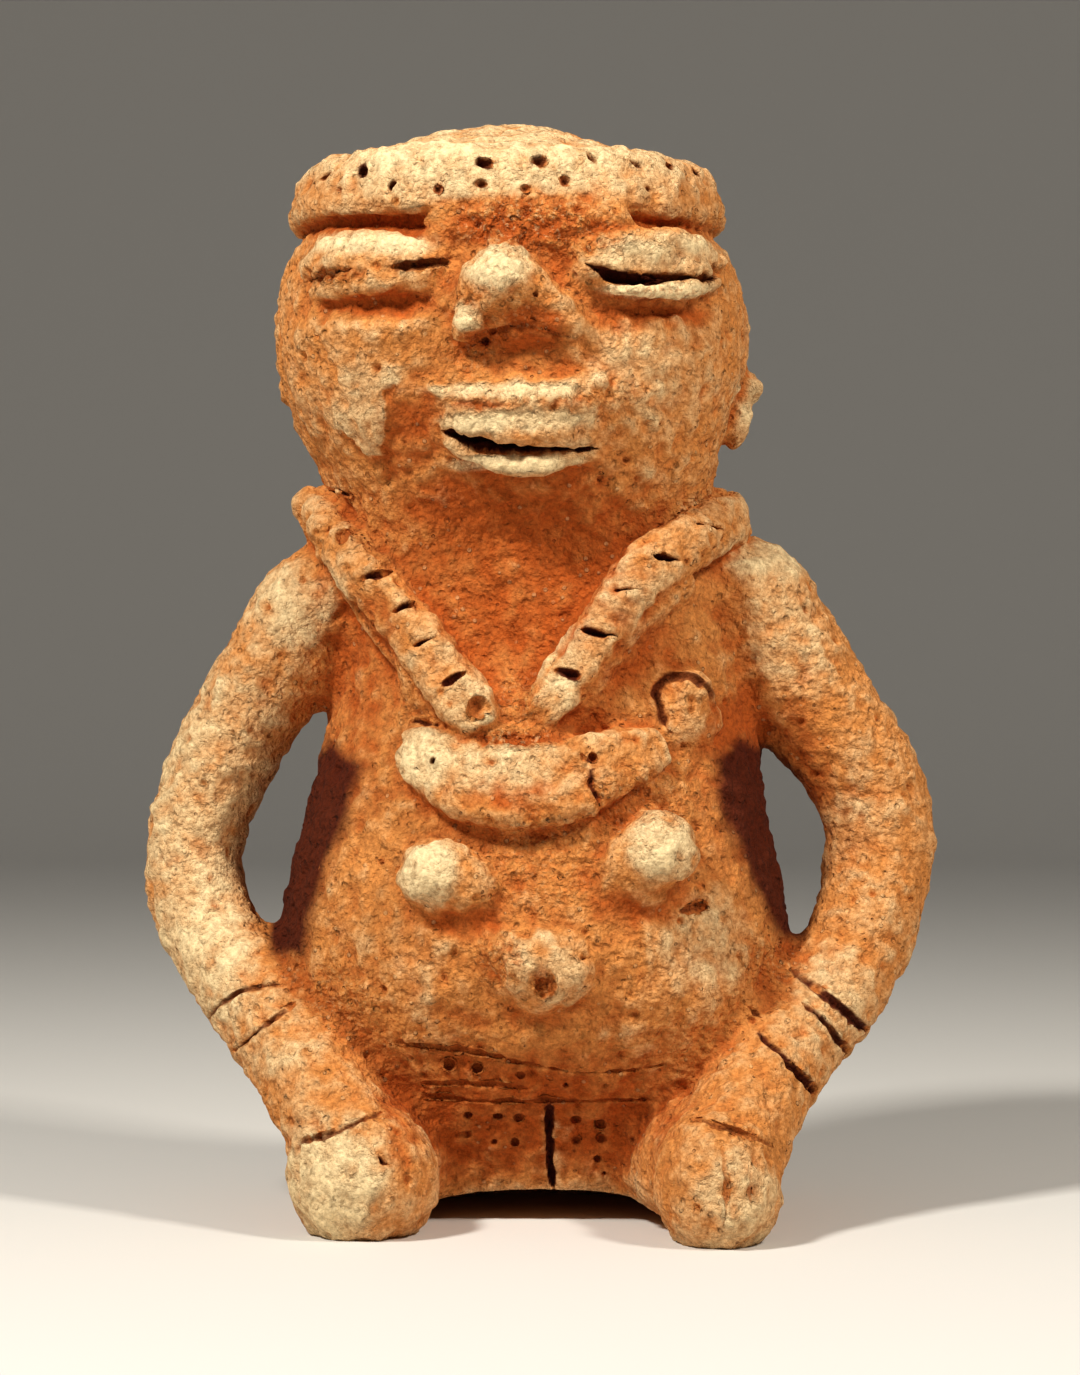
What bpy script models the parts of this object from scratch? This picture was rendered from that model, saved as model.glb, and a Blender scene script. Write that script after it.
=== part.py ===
"""Seated female statuette of fired clay, shaped by hand from rolls and pellets. It faces -Y, with +Z up.

It is one solid. The head, trunk, arms and legs are fused and their creases softened, the applied strips
and pellets are pressed on, the dots are punched and the lines incised, and the underside is cut flat.
Units are metres.
"""

import math

import bmesh
import bpy
from mathutils import Matrix, Vector
from mathutils.bvhtree import BVHTree

# The driving size, and the hundred-and-ninetieth of it in which every share of the figure is given
HEIGHT = 0.190
MM = HEIGHT / 190.0

# How finely the clay is shaped
BODY_VOXEL = 1.1 * MM
SKIN_VOXEL = 0.9 * MM
BODY_SOFTENING = 14
SKIN_SOFTENING = 3
SKIN_TRIANGLES = 5200
LOFT_SIDES = 48
SPLINE_STEPS = 4

# The point from which the front is seen. A place on the front is given as x and z where the line of
# sight to it crosses the upright plane through the figure's middle.
EYE_POINT = (0.0, -644.0, 91.4)

# Head and trunk: sections from the top down, as height, middle x, half width, front depth and back depth
HEAD_SECTIONS = [
    (190.0, -7.0, 3, 3, 3),
    (189.4, -6.8, 8, 8, 8),
    (187.6, -6.5, 15, 14, 14),
    (184.8, -6.2, 23, 21, 20),
    (181.0, -5.9, 30, 27, 25.5),
    (176.0, -5.8, 34, 30.5, 28),
    (171.0, -5.8, 35.2, 31.2, 28.8),
    (167.5, -5.3, 37.8, 32.4, 30),
    (162.5, -5.0, 40.4, 33.5, 31),
    (154.7, -4.9, 41.7, 34.5, 31),
    (147.6, -4.9, 41.6, 35, 30),
    (138.8, -4.8, 38.4, 34.3, 28),
    (133.0, -4.2, 36.0, 32.2, 26),
    (127.0, -3.2, 33.8, 28.8, 23.5),
    (121.0, -2.6, 32.2, 25.5, 21.5),
    (112.0, -2.0, 31.0, 23, 19.5),
]
TRUNK_SECTIONS = [
    (125, -2, 26, 20, 17),
    (120, -2, 31.5, 23.5, 20),
    (113, -2, 33.5, 23.8, 21),
    (105, -1, 34.5, 24.2, 21.5),
    (97, 0, 35.5, 25, 22.5),
    (89, 0.5, 37, 26.5, 24.5),
    (80, 0.5, 38.8, 29, 26.5),
    (70, 0.3, 41.3, 32, 29),
    (61, 0.2, 43.6, 34.5, 31.5),
    (52, -0.2, 45.3, 36.3, 33.5),
    (43, -0.5, 45.6, 36.5, 35),
    (35, -0.2, 44.7, 34.8, 36),
    (27, 0, 42.7, 31, 36.5),
    (18, 0, 40, 26, 36),
    (9, 0, 37.5, 21, 34),
    (0, 0, 35.5, 17.5, 31),
    (-5, 0, 33, 15, 28),
]
SECTION_ROUNDNESS = 0.88

# Arms, from the shoulder to the hand on the knee, and legs, as x, y, z and radius
LEFT_ARM = [
    (-22, 1, 108, 9.5),
    (-36.2, 0, 108.0, 10.4),
    (-44.4, 1, 97.6, 10.4),
    (-53.8, 2, 83.5, 9.5),
    (-59.5, 2, 71.0, 8.8),
    (-61.0, 1, 60.5, 8.8),
    (-57.2, -3, 49.6, 9.6),
    (-50.4, -10, 39.6, 9.5),
    (-42.8, -19, 30.9, 9.2),
    (-36.6, -28, 22.5, 9.3),
    (-31.9, -34, 13.4, 10.2),
]
RIGHT_ARM = [
    (22, 1, 107, 10),
    (34.9, 0, 107.0, 11.3),
    (40.6, 1, 98.5, 11.8),
    (49.6, 2, 87.0, 10.8),
    (56.0, 2, 78.0, 9.9),
    (59.6, 2, 68.4, 9.8),
    (59.6, 1, 59.0, 9.8),
    (55.8, -4, 47.0, 9.6),
    (49.5, -11, 37.1, 9.2),
    (42.3, -20, 29.3, 8.7),
    (35.7, -30, 21.1, 8.9),
    (30.2, -40, 12.6, 10.0),
]
LEFT_LEG = [(-22, 4, 11, 11), (-26, -12, 11, 12), (-30.0, -28, 10.5, 12)]
RIGHT_LEG = [(20, 4, 11, 11), (24, -14, 11, 11.5), (28.6, -34, 10.5, 10.6)]
LEFT_KNEE = ((-29.6, -33, 9.8), (12.9, 13.4, 13.0))
RIGHT_KNEE = ((29.2, -41, 9.4), (10.8, 13.8, 13.4))

# Headband: a flat strip round the head, its cross-section as height above its lower edge and how far
# out from the head it stands
BAND_LOW = 170.8
BAND_PROFILE = [
    (0.0, -0.6),
    (0.6, 2.3),
    (2.6, 3.0),
    (6.8, 2.3),
    (10.6, 0.5),
    (12.4, -3.2),
    (12.0, -10.0),
    (2.0, -10.0),
]
BAND_SIDES = 40

# Features pressed on, as seen: eye mounds, then rolls as x, z, how far proud the middle is, and radius
EYE_MOUNDS = [((-28.9, 165.4), (12.2, 3.6, 5.4)), ((18.0, 165.2), (13.4, 3.6, 5.8))]
FACE_ROLLS = {
    "left_upper_lid": [(-40.6, 165.2, 0, 1.3), (-36.8, 168.0, 1, 2.2), (-30, 169.0, 1.6, 2.7),
                       (-22.5, 168.4, 1.4, 2.4), (-16.8, 166.4, 0.4, 1.3)],
    "left_lower_lid": [(-40.4, 163.4, 0, 1.4), (-36.2, 162.0, 0.8, 2.3), (-29.1, 162.5, 1.4, 2.7),
                       (-22.1, 164.0, 1.0, 2.1), (-17.0, 165.4, 0.2, 1.2)],
    "right_upper_lid": [(4.8, 168.0, 0.2, 1.6), (10.6, 168.8, 1.2, 2.8), (17.7, 169.0, 1.8, 3.2),
                        (25.6, 167.9, 1.6, 2.8), (31.4, 165.4, 0.4, 1.5)],
    "right_lower_lid": [(8.6, 162.6, 0.4, 1.5), (14.1, 161.4, 1.4, 2.3), (20.3, 161.0, 1.8, 2.5),
                        (26.5, 161.5, 1.4, 2.2), (31.0, 163.2, 0.3, 1.3)],
    "nose_ridge": [(-5.8, 171.2, -0.5, 2.4), (-6.4, 167.2, 2.0, 4.2), (-7.2, 163.0, 5.6, 5.3),
                   (-7.8, 158.8, 5.6, 5.2), (-8.2, 155.6, 2.6, 4.0)],
    "nose_right_wing": [(-4.0, 162.0, 4.0, 4.4), (0.9, 159.4, 3.0, 4.0), (4.9, 156.4, 1.6, 3.3),
                        (7.8, 153.9, 0, 2.2)],
    "nose_left_wing": [(-10.9, 160.8, 3.6, 4.2), (-13.2, 157.6, 2.4, 3.9), (-13.6, 154.6, 1.4, 3.4)],
    "lip_ridge": [(-19.6, 144.4, 0, 1.0), (-11.5, 143.1, 0.4, 1.7), (-1.8, 143.6, 0.4, 1.7),
                  (11.2, 145.6, 0, 1.0)],
    "upper_lip": [(-18, 139.2, 0.2, 1.6), (-11.5, 139.1, 1.0, 2.7), (-4.4, 138.7, 1.2, 2.9),
                  (3.5, 138.2, 1.0, 2.6), (10.4, 136.8, 0.2, 1.6)],
    "lower_lip": [(-15.8, 134.0, 0.1, 1.2), (-10.9, 131.9, 0.7, 2.0), (-5.6, 130.7, 1.0, 2.5),
                  (1.8, 131.2, 0.7, 2.1), (10.2, 132.6, 0.1, 1.2)],
}
MOUTH_MOUND = ((-4.2, 136.8), (15.5, 3.4, 9.0))
EARS = [
    ((34.5, 1, 139.2), (3.4, 4.4, 6.2)),
    ((36.8, 0, 144.2), (2.4, 3.0, 3.0)),
    ((-44.4, 1, 144.4), (2.2, 3.6, 3.6)),
]
BREASTS = [((-18.0, 57.9), (6.6, 6.2, 5.8)), ((19.3, 60.7), (6.7, 6.7, 6.8))]
BREAST_PROUD = 1.2
NAVEL = ((0.6, 41.4), (7.6, 4.2, 6.4))
ARMPIT_LUMP = ((25.8, 88.9), (4.4, 3.4, 5.2))

# Shoulder strap: one roll from the left tip round the nape to the right tip. Its front is as seen, and
# its back is the turn from the front in degrees, and the height, round the neck's axis. Then how far
# proud its middle stands, and its radius.
STRAP_LEFT = [
    (-9.7, 84.4, 0.0, 2.6),
    (-11.1, 87.0, 0.8, 4.4),
    (-15.0, 92.3, 1.2, 4.2),
    (-19.2, 98.8, 1.2, 3.9),
    (-23.8, 105.3, 1.2, 3.9),
    (-28.8, 111.9, 1.2, 4.0),
]
NAPE_AXIS_X = -2.0
NAPE = [
    (-80, 119.2, 1.8, 4.4),
    (-92, 122.6, 2.2, 4.5),
    (-110, 124.4, 1.0, 4.0),
    (-145, 125.2, 0.4, 3.9),
    (-180, 125.4, 0.4, 3.9),
    (-215, 125.0, 0.4, 3.9),
    (-250, 124.0, 1.0, 4.0),
    (-269, 121.8, 2.0, 4.5),
    (-284, 119.0, 1.6, 4.4),
]
STRAP_RIGHT = [
    (21.9, 114.2, 1.2, 4.2),
    (16.2, 107.8, 1.2, 4.0),
    (10.4, 101.1, 1.2, 4.1),
    (5.3, 93.7, 1.2, 4.0),
    (1.6, 88.4, 0.6, 3.8),
    (0.4, 86.0, -0.2, 2.2),
]

# Crescent pendant below the strap's tips, as x, z, how far its middle stands proud, and radius
CRESCENT = [
    (-24.4, 80.9, 0.2, 2.8),
    (-22.4, 80.0, 0.4, 4.4),
    (-18.4, 77.8, 0.5, 5.8),
    (-12.6, 74.6, 0.5, 6.8),
    (-3.4, 73.2, 0.4, 7.6),
    (5.5, 74.8, 0.4, 7.0),
    (11.0, 77.4, 0.5, 6.0),
    (16.2, 79.4, 0.5, 5.0),
    (19.6, 80.2, 0.4, 3.8),
    (21.2, 80.6, 0.2, 2.4),
]
CRESCENT_FLATNESS = 0.66

# Punched dots: radius and depth
DOT_RADIUS = 0.95
DOT_DEPTH = 1.6
DOT_SIDES = 6
BAND_DOT_ROWS = [(179.4, 0.0), (174.9, 0.5)]
BAND_DOTS = 23
CRESCENT_HOLES = [(-18.9, 78.7), (9.4, 79.8)]
NAVEL_HOLE = ((0.6, 40.0), 2.1, 3.6)
STRAP_HOLES = [((-10.4, 88.4), 1.9, 1.6), ((4.5, 94.4), 1.6, 1.8)]
STRAP_TOP_HOLE = ((-80, 118.2), 1.7, 1.2)
BELT_DOTS = [(-15.9, 24.2), (-10.8, 24.0), (-2.6, 22.7), (4.6, 21.3), (11.5, 21.5)]
SKIRT_DOTS_LEFT = [(-12.9, 16.0), (-7.4, 15.9), (-3.9, 15.3), (-12.9, 12.5), (-6.7, 11.6), (-3.4, 11.1)]
SKIRT_DOTS_RIGHT = [(6.4, 15.2), (10.8, 14.1), (6.4, 11.3), (10.9, 11.6), (16.2, 11.6), (10.1, 8.3),
                    (11.3, 5.6)]

# Notches across the strap, as seen: middle, half length and slope
NOTCHES = [
    ((-28.6, 111.5), 2.8, 0.2),
    ((-24.1, 106.0), 2.1, 0.35),
    ((-20.6, 99.9), 2.0, 0.3),
    ((-15.7, 93.7), 1.8, 0.45),
    ((27.4, 119.4), 2.4, -0.1),
    ((21.7, 114.5), 3.0, -0.15),
    ((15.2, 108.8), 2.4, -0.1),
    ((9.9, 101.5), 3.2, -0.2),
]
NOTCH_RADIUS = 0.8

# Incised lines, as seen
LINE_RADIUS = 0.65
LINES = {
    "belt_upper": [(-24.8, 28.6), (-13, 27.2), (0, 25.2), (12, 23.9), (22.7, 23.6)],
    "belt_lower": [(-20.5, 20.4), (-9, 19.2), (2, 18.4), (11, 18.0), (20, 18.0)],
    "left_wrist": [(-43.4, 10.9), (-38.8, 12.4), (-33, 14.4), (-27.5, 16.0)],
    "right_wrist": [(26.5, 16.4), (31, 15.2), (36.5, 12.8), (41.8, 10.7)],
    "left_bracelet_low": [(-52.6, 27.9), (-47, 31.4), (-41.7, 35.8)],
    "left_bracelet_high": [(-58.4, 36.7), (-51.5, 40.0), (-44.3, 44.4)],
    "right_bracelet_high": [(41.8, 44.1), (50, 37.8), (57.2, 31.4)],
    "right_bracelet_middle": [(45.7, 35.8), (49.9, 32.2), (53.7, 27.9)],
    "right_bracelet_low": [(38.7, 30.5), (43.8, 25.8), (48.4, 20.4)],
    "left_finger": [(-28.4, 8.4), (-26.7, 7.2)],
    "right_finger_inner": [(28.2, 6.0), (28.2, 0.7)],
    "right_finger_top": [(33.4, 10.2), (33.4, 7.7)],
    "right_finger_middle": [(32.5, 1.6), (32.5, -2.0)],
    "right_finger_outer": [(37.4, 7.2), (37.4, -2.0)],
}
CUTS = {
    "skirt_slit": ([(1.9, 18.2), (2.8, -1.0)], 1.1),
    "left_eye": ([(-38.6, 164.8), (-33.5, 165.1), (-27.4, 165.9), (-17.4, 166.2)], 0.95),
    "right_eye": ([(9.6, 165.0), (17.7, 164.7), (24.7, 164.3), (31.4, 164.0)], 1.05),
    "mouth": ([(-16.4, 136.2), (-11.5, 135.2), (-5.5, 134.4), (2, 134.0), (9.9, 134.0)], 1.35),
}
NOSTRILS = [(-8.0, 152.6), (-2.6, 152.8)]
NOSTRIL_RADIUS = 1.3

# Underside: the ground plane cuts it flat, and the clay arches up between the knees
ARCH_MIDDLE = (0.4, -11.0)
ARCH_RADII = (25.0, 27.0, 5.8)

CLAY_COLOUR = (0.60, 0.27, 0.10, 1.0)
CLAY_ROUGHNESS = 0.92
FAR = 1000.0


def clear_scene():
    for obj in list(bpy.data.objects):
        bpy.data.objects.remove(obj, do_unlink=True)


def collection(name):
    made = bpy.data.collections.new(name)
    bpy.context.scene.collection.children.link(made)
    return made


def clay():
    """Fired clay: a dull orange with no shine."""
    material = bpy.data.materials.new("fired_clay")
    material.use_nodes = True
    shader = material.node_tree.nodes["Principled BSDF"]
    shader.inputs["Base Color"].default_value = CLAY_COLOUR
    shader.inputs["Roughness"].default_value = CLAY_ROUGHNESS
    shader.inputs["Metallic"].default_value = 0.0
    material.diffuse_color = CLAY_COLOUR
    return material


def between(before, start, end, after, t):
    """The Catmull-Rom curve from start to end at t, through four numbers in a row."""
    rise = (end - before) * t
    bend = (2 * before - 5 * start + 4 * end - after) * t**2
    return 0.5 * (2 * start + rise + bend + (3 * start - before - 3 * end + after) * t**3)


def smooth_through(rows, steps):
    """Rows on a smooth curve through the given rows, with this many steps between neighbours."""
    last = len(rows) - 1
    made = []
    for i in range(last):
        around = (rows[max(i - 1, 0)], rows[i], rows[i + 1], rows[min(i + 2, last)])
        made += [tuple(between(*four, k / steps) for four in zip(*around)) for k in range(steps)]
    made.append(tuple(rows[last]))
    return made


def oval(section, turn, out=0.0):
    """The point of a section's outline at this turn from +X, moved out by a length. The outline is an
    oval, fuller than an ellipse by SECTION_ROUNDNESS."""
    z, middle, half, front, back = section
    depth = back if math.sin(turn) > 0 else front
    across = math.copysign(abs(math.cos(turn)) ** SECTION_ROUNDNESS, math.cos(turn))
    along = math.copysign(abs(math.sin(turn)) ** SECTION_ROUNDNESS, math.sin(turn))
    return Vector((middle + (half + out) * across, (depth + out) * along, z))


def loft(sections):
    """A closed skin over oval sections."""
    shape = bmesh.new()
    turns = [2 * math.pi * k / LOFT_SIDES for k in range(LOFT_SIDES)]
    rings = [
        [shape.verts.new(oval(section, turn) * MM) for turn in turns]
        for section in smooth_through(sections, SPLINE_STEPS)
    ]
    for upper, lower in zip(rings, rings[1:]):
        for k in range(LOFT_SIDES):
            n = (k + 1) % LOFT_SIDES
            shape.faces.new((upper[k], lower[k], lower[n], upper[n]))
    shape.faces.new(rings[0])
    shape.faces.new(reversed(rings[-1]))
    return to_mesh(shape)


def to_mesh(shape):
    """A mesh from a bmesh, its faces pointing out."""
    bmesh.ops.recalc_face_normals(shape, faces=shape.faces)
    if shape.calc_volume(signed=True) < 0:
        bmesh.ops.reverse_faces(shape, faces=shape.faces)
    mesh = bpy.data.meshes.new("clay")
    shape.to_mesh(mesh)
    shape.free()
    return mesh


def roll(points, sides=12, steps=SPLINE_STEPS):
    """A roll of clay: a bar of changing radius along a smooth path, its ends closed."""
    path = smooth_through(points, steps)
    curve = bpy.data.curves.new("roll", "CURVE")
    curve.dimensions = "3D"
    curve.bevel_depth = MM
    curve.bevel_resolution = sides // 4 - 1
    curve.use_fill_caps = True
    spline = curve.splines.new("POLY")
    spline.points.add(len(path) - 1)
    for point, (x, y, z, radius) in zip(spline.points, path):
        point.co = (x * MM, y * MM, z * MM, 1.0)
        point.radius = radius
    holder = bpy.data.objects.new("roll", curve)
    bpy.context.scene.collection.objects.link(holder)
    bpy.context.view_layer.update()
    graph = bpy.context.evaluated_depsgraph_get()
    tube = bpy.data.meshes.new_from_object(holder.evaluated_get(graph))
    bpy.data.objects.remove(holder)
    shape = bmesh.new()
    shape.from_mesh(tube)
    bmesh.ops.remove_doubles(shape, verts=shape.verts, dist=0.01 * MM)
    return to_mesh(shape)


def pellet(centre, radii, yaw=0.0):
    """A pellet of clay: a ball pressed to three radii and turned about Z."""
    shape = bmesh.new()
    bmesh.ops.create_uvsphere(shape, u_segments=24, v_segments=16, radius=1.0)
    size = Matrix.Diagonal((*(r * MM for r in radii), 1.0))
    shape.transform(Matrix.Translation(Vector(centre) * MM) @ Matrix.Rotation(yaw, 4, "Z") @ size)
    return to_mesh(shape)


def headband():
    """A strip round the head: its cross-section carried round the head's oval just above the brow."""
    low = min(HEAD_SECTIONS, key=lambda section: abs(section[0] - BAND_LOW))
    shape = bmesh.new()
    rings = []
    for k in range(BAND_SIDES):
        turn = 2 * math.pi * k / BAND_SIDES
        ring = [oval((BAND_LOW + up, *low[1:]), turn, out) for up, out in BAND_PROFILE]
        rings.append([shape.verts.new(point * MM) for point in ring])
    for here, there in zip(rings, rings[1:] + rings[:1]):
        for i in range(len(BAND_PROFILE)):
            j = (i + 1) % len(BAND_PROFILE)
            shape.faces.new((here[i], there[i], there[j], here[j]))
    return to_mesh(shape)


def joined(name, meshes):
    """One object that holds all the meshes, each still its own shell."""
    shape = bmesh.new()
    for mesh in meshes:
        shape.from_mesh(mesh)
        bpy.data.meshes.remove(mesh)
    mesh = bpy.data.meshes.new(name)
    shape.to_mesh(mesh)
    shape.free()
    obj = bpy.data.objects.new(name, mesh)
    bpy.context.scene.collection.objects.link(obj)
    return obj


def settle(obj):
    """Turns the object's modifiers into its mesh."""
    bpy.context.view_layer.update()
    graph = bpy.context.evaluated_depsgraph_get()
    mesh = bpy.data.meshes.new_from_object(obj.evaluated_get(graph))
    obj.modifiers.clear()
    obj.data = mesh
    return obj


def fused(name, meshes, voxel, softening):
    """One skin round all the shapes, its creases softened as by a wet thumb."""
    obj = joined(name, meshes)
    skin = obj.modifiers.new("Fuse", "REMESH")
    skin.mode = "VOXEL"
    skin.voxel_size = voxel
    soft = obj.modifiers.new("Soften", "SMOOTH")
    soft.factor = 0.5
    soft.iterations = softening
    return settle(obj)


class Skin:
    """The surface of the figure so far, for laying clay and tools on it."""

    def __init__(self, obj):
        shape = bmesh.new()
        shape.from_mesh(obj.data)
        self.tree = BVHTree.FromBMesh(shape)
        shape.free()

    def cast(self, start, toward):
        place, normal, _, _ = self.tree.ray_cast(Vector(start) * MM, Vector(toward).normalized())
        return place / MM, normal

    def seen(self, x, z, proud=0.0):
        """The point of the front seen at x and z, lifted off the skin by proud."""
        place, normal = self.cast(EYE_POINT, Vector((x, 0, z)) - Vector(EYE_POINT))
        return place + normal * proud

    def around(self, turn, z, proud=0.0, axis_x=NAPE_AXIS_X):
        """The point at this turn from the front, in degrees, and this height, lifted off the skin."""
        out = Vector((math.sin(math.radians(turn)), -math.cos(math.radians(turn)), 0))
        place, normal = self.cast(Vector((axis_x, 0, z)) + out * FAR, -out)
        return place + normal * proud


def body():
    """Head, trunk, arms and legs, fused."""
    shapes = [loft(HEAD_SECTIONS), loft(TRUNK_SECTIONS)]
    shapes += [roll(path, sides=16) for path in (LEFT_ARM, RIGHT_ARM, LEFT_LEG, RIGHT_LEG)]
    shapes += [pellet(*LEFT_KNEE), pellet(*RIGHT_KNEE)]
    return fused("body", shapes, BODY_VOXEL, BODY_SOFTENING)


def seen_rows(skin, rows):
    """Path points for a roll on the front, from rows of x, z, proud and radius."""
    return [(*skin.seen(x, z, proud), radius) for x, z, proud, radius in rows]


def front_yaw(skin, x, z):
    """How far the skin seen at x and z turns away from the front, about Z."""
    place = skin.seen(x, z)
    lifted = skin.seen(x, z, 1.0) - place
    return math.atan2(lifted.x, -lifted.y)


def strap(skin):
    """The roll that hangs round the neck."""
    nape = [(*skin.around(turn, z, proud), radius) for turn, z, proud, radius in NAPE]
    return roll(seen_rows(skin, STRAP_LEFT) + nape + seen_rows(skin, STRAP_RIGHT))


def crescent(skin):
    """The pendant: a roll thick in the middle, pressed flatter from the front."""
    stretched = [(x, y / CRESCENT_FLATNESS, z, radius) for x, y, z, radius in seen_rows(skin, CRESCENT)]
    mesh = roll(stretched, sides=16)
    mesh.transform(Matrix.Diagonal((1.0, CRESCENT_FLATNESS, 1.0, 1.0)))
    return mesh


def applied(skin):
    """The strips and pellets pressed on the body."""
    shapes = [headband(), strap(skin), crescent(skin)]
    shapes += [roll(seen_rows(skin, rows)) for rows in FACE_ROLLS.values()]
    for (x, z), radii in (*EYE_MOUNDS, MOUTH_MOUND, NAVEL, ARMPIT_LUMP):
        shapes.append(pellet(skin.seen(x, z), radii, front_yaw(skin, x, z)))
    shapes += [pellet(skin.seen(x, z, BREAST_PROUD), radii) for (x, z), radii in BREASTS]
    shapes += [pellet(centre, radii) for centre, radii in EARS]
    return shapes


def punch(place, inward, radius, depth):
    """A pointed tool pushed into the clay: a blunt cone, as long outside the skin as in it."""
    shape = bmesh.new()
    bmesh.ops.create_cone(
        shape,
        cap_ends=True,
        segments=DOT_SIDES,
        radius1=1.3 * radius * MM,
        radius2=0.6 * radius * MM,
        depth=2 * depth * MM,
    )
    facing = Vector(inward).to_track_quat("Z", "Y").to_matrix().to_4x4()
    shape.transform(Matrix.Translation(Vector(place) * MM) @ facing)
    return to_mesh(shape)


def punch_seen(skin, x, z, radius=DOT_RADIUS, depth=DOT_DEPTH):
    place = skin.seen(x, z)
    return punch(place, place - skin.seen(x, z, 1.0), radius, depth)


def band_punches(skin):
    """Two rows of dots round the headband, the lower row half a pitch on."""
    middle = HEAD_SECTIONS[-1][1]
    made = []
    for z, shift in BAND_DOT_ROWS:
        for k in range(BAND_DOTS):
            turn = 360 * (k + shift) / BAND_DOTS
            place = skin.around(turn, z, axis_x=middle)
            made.append(punch(place, Vector((middle, 0, z)) - place, DOT_RADIUS, DOT_DEPTH))
    return made


def incision(skin, line, radius):
    """A groove: a thin bar laid half in the skin along a line that is seen on the front."""
    return roll([(*skin.seen(x, z), radius) for x, z in smooth_through(line, 2)], sides=8, steps=1)


def notch(skin, middle, half, slope):
    """A short cut across the strap."""
    x, z = middle
    ends = [(x + side * half, z + side * half * slope) for side in (-1, 0, 1)]
    return roll([(*skin.seen(*end), NOTCH_RADIUS) for end in ends], sides=8, steps=1)


def tool_marks(skin):
    """Every dot, notch and line, as cutters."""
    made = band_punches(skin)
    for x, z in (*CRESCENT_HOLES, *BELT_DOTS, *SKIRT_DOTS_LEFT, *SKIRT_DOTS_RIGHT):
        made.append(punch_seen(skin, x, z))
    for (x, z), radius, depth in (NAVEL_HOLE, *STRAP_HOLES):
        made.append(punch_seen(skin, x, z, radius, depth))
    made += [punch_seen(skin, x, z, NOSTRIL_RADIUS) for x, z in NOSTRILS]
    (turn, z), radius, depth = STRAP_TOP_HOLE
    place = skin.around(turn, z)
    made.append(punch(place, Vector((NAPE_AXIS_X, 0, z)) - place, radius, depth))
    made += [notch(skin, *each) for each in NOTCHES]
    made += [incision(skin, line, LINE_RADIUS) for line in LINES.values()]
    made += [incision(skin, line, radius) for line, radius in CUTS.values()]
    return made


def underside():
    """The ground below z = 0, and the arch between the knees, as one cutter each."""
    ground = bmesh.new()
    bmesh.ops.create_cube(ground, size=1.0)
    span = 2 * HEIGHT
    ground.transform(Matrix.Translation((0, 0, -span / 2)) @ Matrix.Scale(span, 4))
    arch = pellet((*ARCH_MIDDLE, 0.0), ARCH_RADII)
    return [to_mesh(ground), arch]


def cut(obj, cutters, crossing=False):
    """Takes the cutters away from the object."""
    tool = joined("cutters", cutters)
    away = obj.modifiers.new("Cut", "BOOLEAN")
    away.operation = "DIFFERENCE"
    away.solver = "EXACT"
    away.use_self = crossing
    away.object = tool
    settle(obj)
    bpy.data.objects.remove(tool)
    return obj


def thin_out(obj, triangles):
    """Fewer and larger triangles where the skin is plain."""
    obj.data.calc_loop_triangles()
    fewer = obj.modifiers.new("Thin out", "DECIMATE")
    fewer.ratio = triangles / len(obj.data.loop_triangles)
    fewer.use_collapse_triangulate = True
    return settle(obj)


def centre_over_base(obj):
    """Moves the figure so that the middle of its outline, seen from above, is the origin."""
    xs, ys = ([vertex.co[axis] for vertex in obj.data.vertices] for axis in (0, 1))
    middle = Vector(((min(xs) + max(xs)) / 2, (min(ys) + max(ys)) / 2, 0))
    obj.data.transform(Matrix.Translation(-middle))


def main():
    clear_scene()
    figure = body()
    shapes = applied(Skin(figure)) + [figure.data.copy()]
    bpy.data.objects.remove(figure)
    statuette = fused("statuette", shapes, SKIN_VOXEL, SKIN_SOFTENING)
    thin_out(statuette, SKIN_TRIANGLES)
    cut(statuette, tool_marks(Skin(statuette)), crossing=True)
    cut(statuette, underside()[:1])
    cut(statuette, underside()[1:])
    centre_over_base(statuette)
    statuette.data.materials.clear()
    statuette.data.materials.append(clay())
    statuette.data.shade_smooth()
    statuette.data.set_sharp_from_angle(angle=math.radians(35))
    bpy.context.scene.collection.objects.unlink(statuette)
    collection("female_statuette").objects.link(statuette)


if __name__ == "__main__":
    main()
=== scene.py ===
"""Seated female statuette of fired clay, shaped by hand, with its rough skin, tool marks and patches of pale
slip, and painted shade and painted highlight in its colour.

The figure is worked in millimetres, facing -Y with +Z up, and brought to metres at the end. Rolls, ovals
and pellets are fused into a body, the strips and pellets are pressed on it, then tools and wear move the
skin's points. The front is given as it is seen: x and z are where the line of sight to a place crosses
the upright plane through the figure's middle.
"""

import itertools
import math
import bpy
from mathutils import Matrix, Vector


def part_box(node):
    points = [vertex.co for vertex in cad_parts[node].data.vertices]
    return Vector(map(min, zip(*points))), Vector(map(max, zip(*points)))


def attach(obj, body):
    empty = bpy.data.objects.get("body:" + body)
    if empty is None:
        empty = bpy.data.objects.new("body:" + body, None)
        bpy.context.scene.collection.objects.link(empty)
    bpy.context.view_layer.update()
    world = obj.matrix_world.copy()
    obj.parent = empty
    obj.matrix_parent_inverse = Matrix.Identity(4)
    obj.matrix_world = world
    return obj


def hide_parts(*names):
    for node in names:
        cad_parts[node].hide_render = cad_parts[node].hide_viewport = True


bl_info = {
    "name": "Female Statuette",
    "version": (1, 0, 0),
    "blender": (4, 5, 0),
    "location": "3D View > Sidebar > Statuette",
    "description": "A small hand-modelled figure of fired clay on a plain pale floor",
    "category": "Add Mesh",
}

import bmesh
import bpy
import numpy as np
from mathutils import Vector
from mathutils.bvhtree import BVHTree

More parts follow.
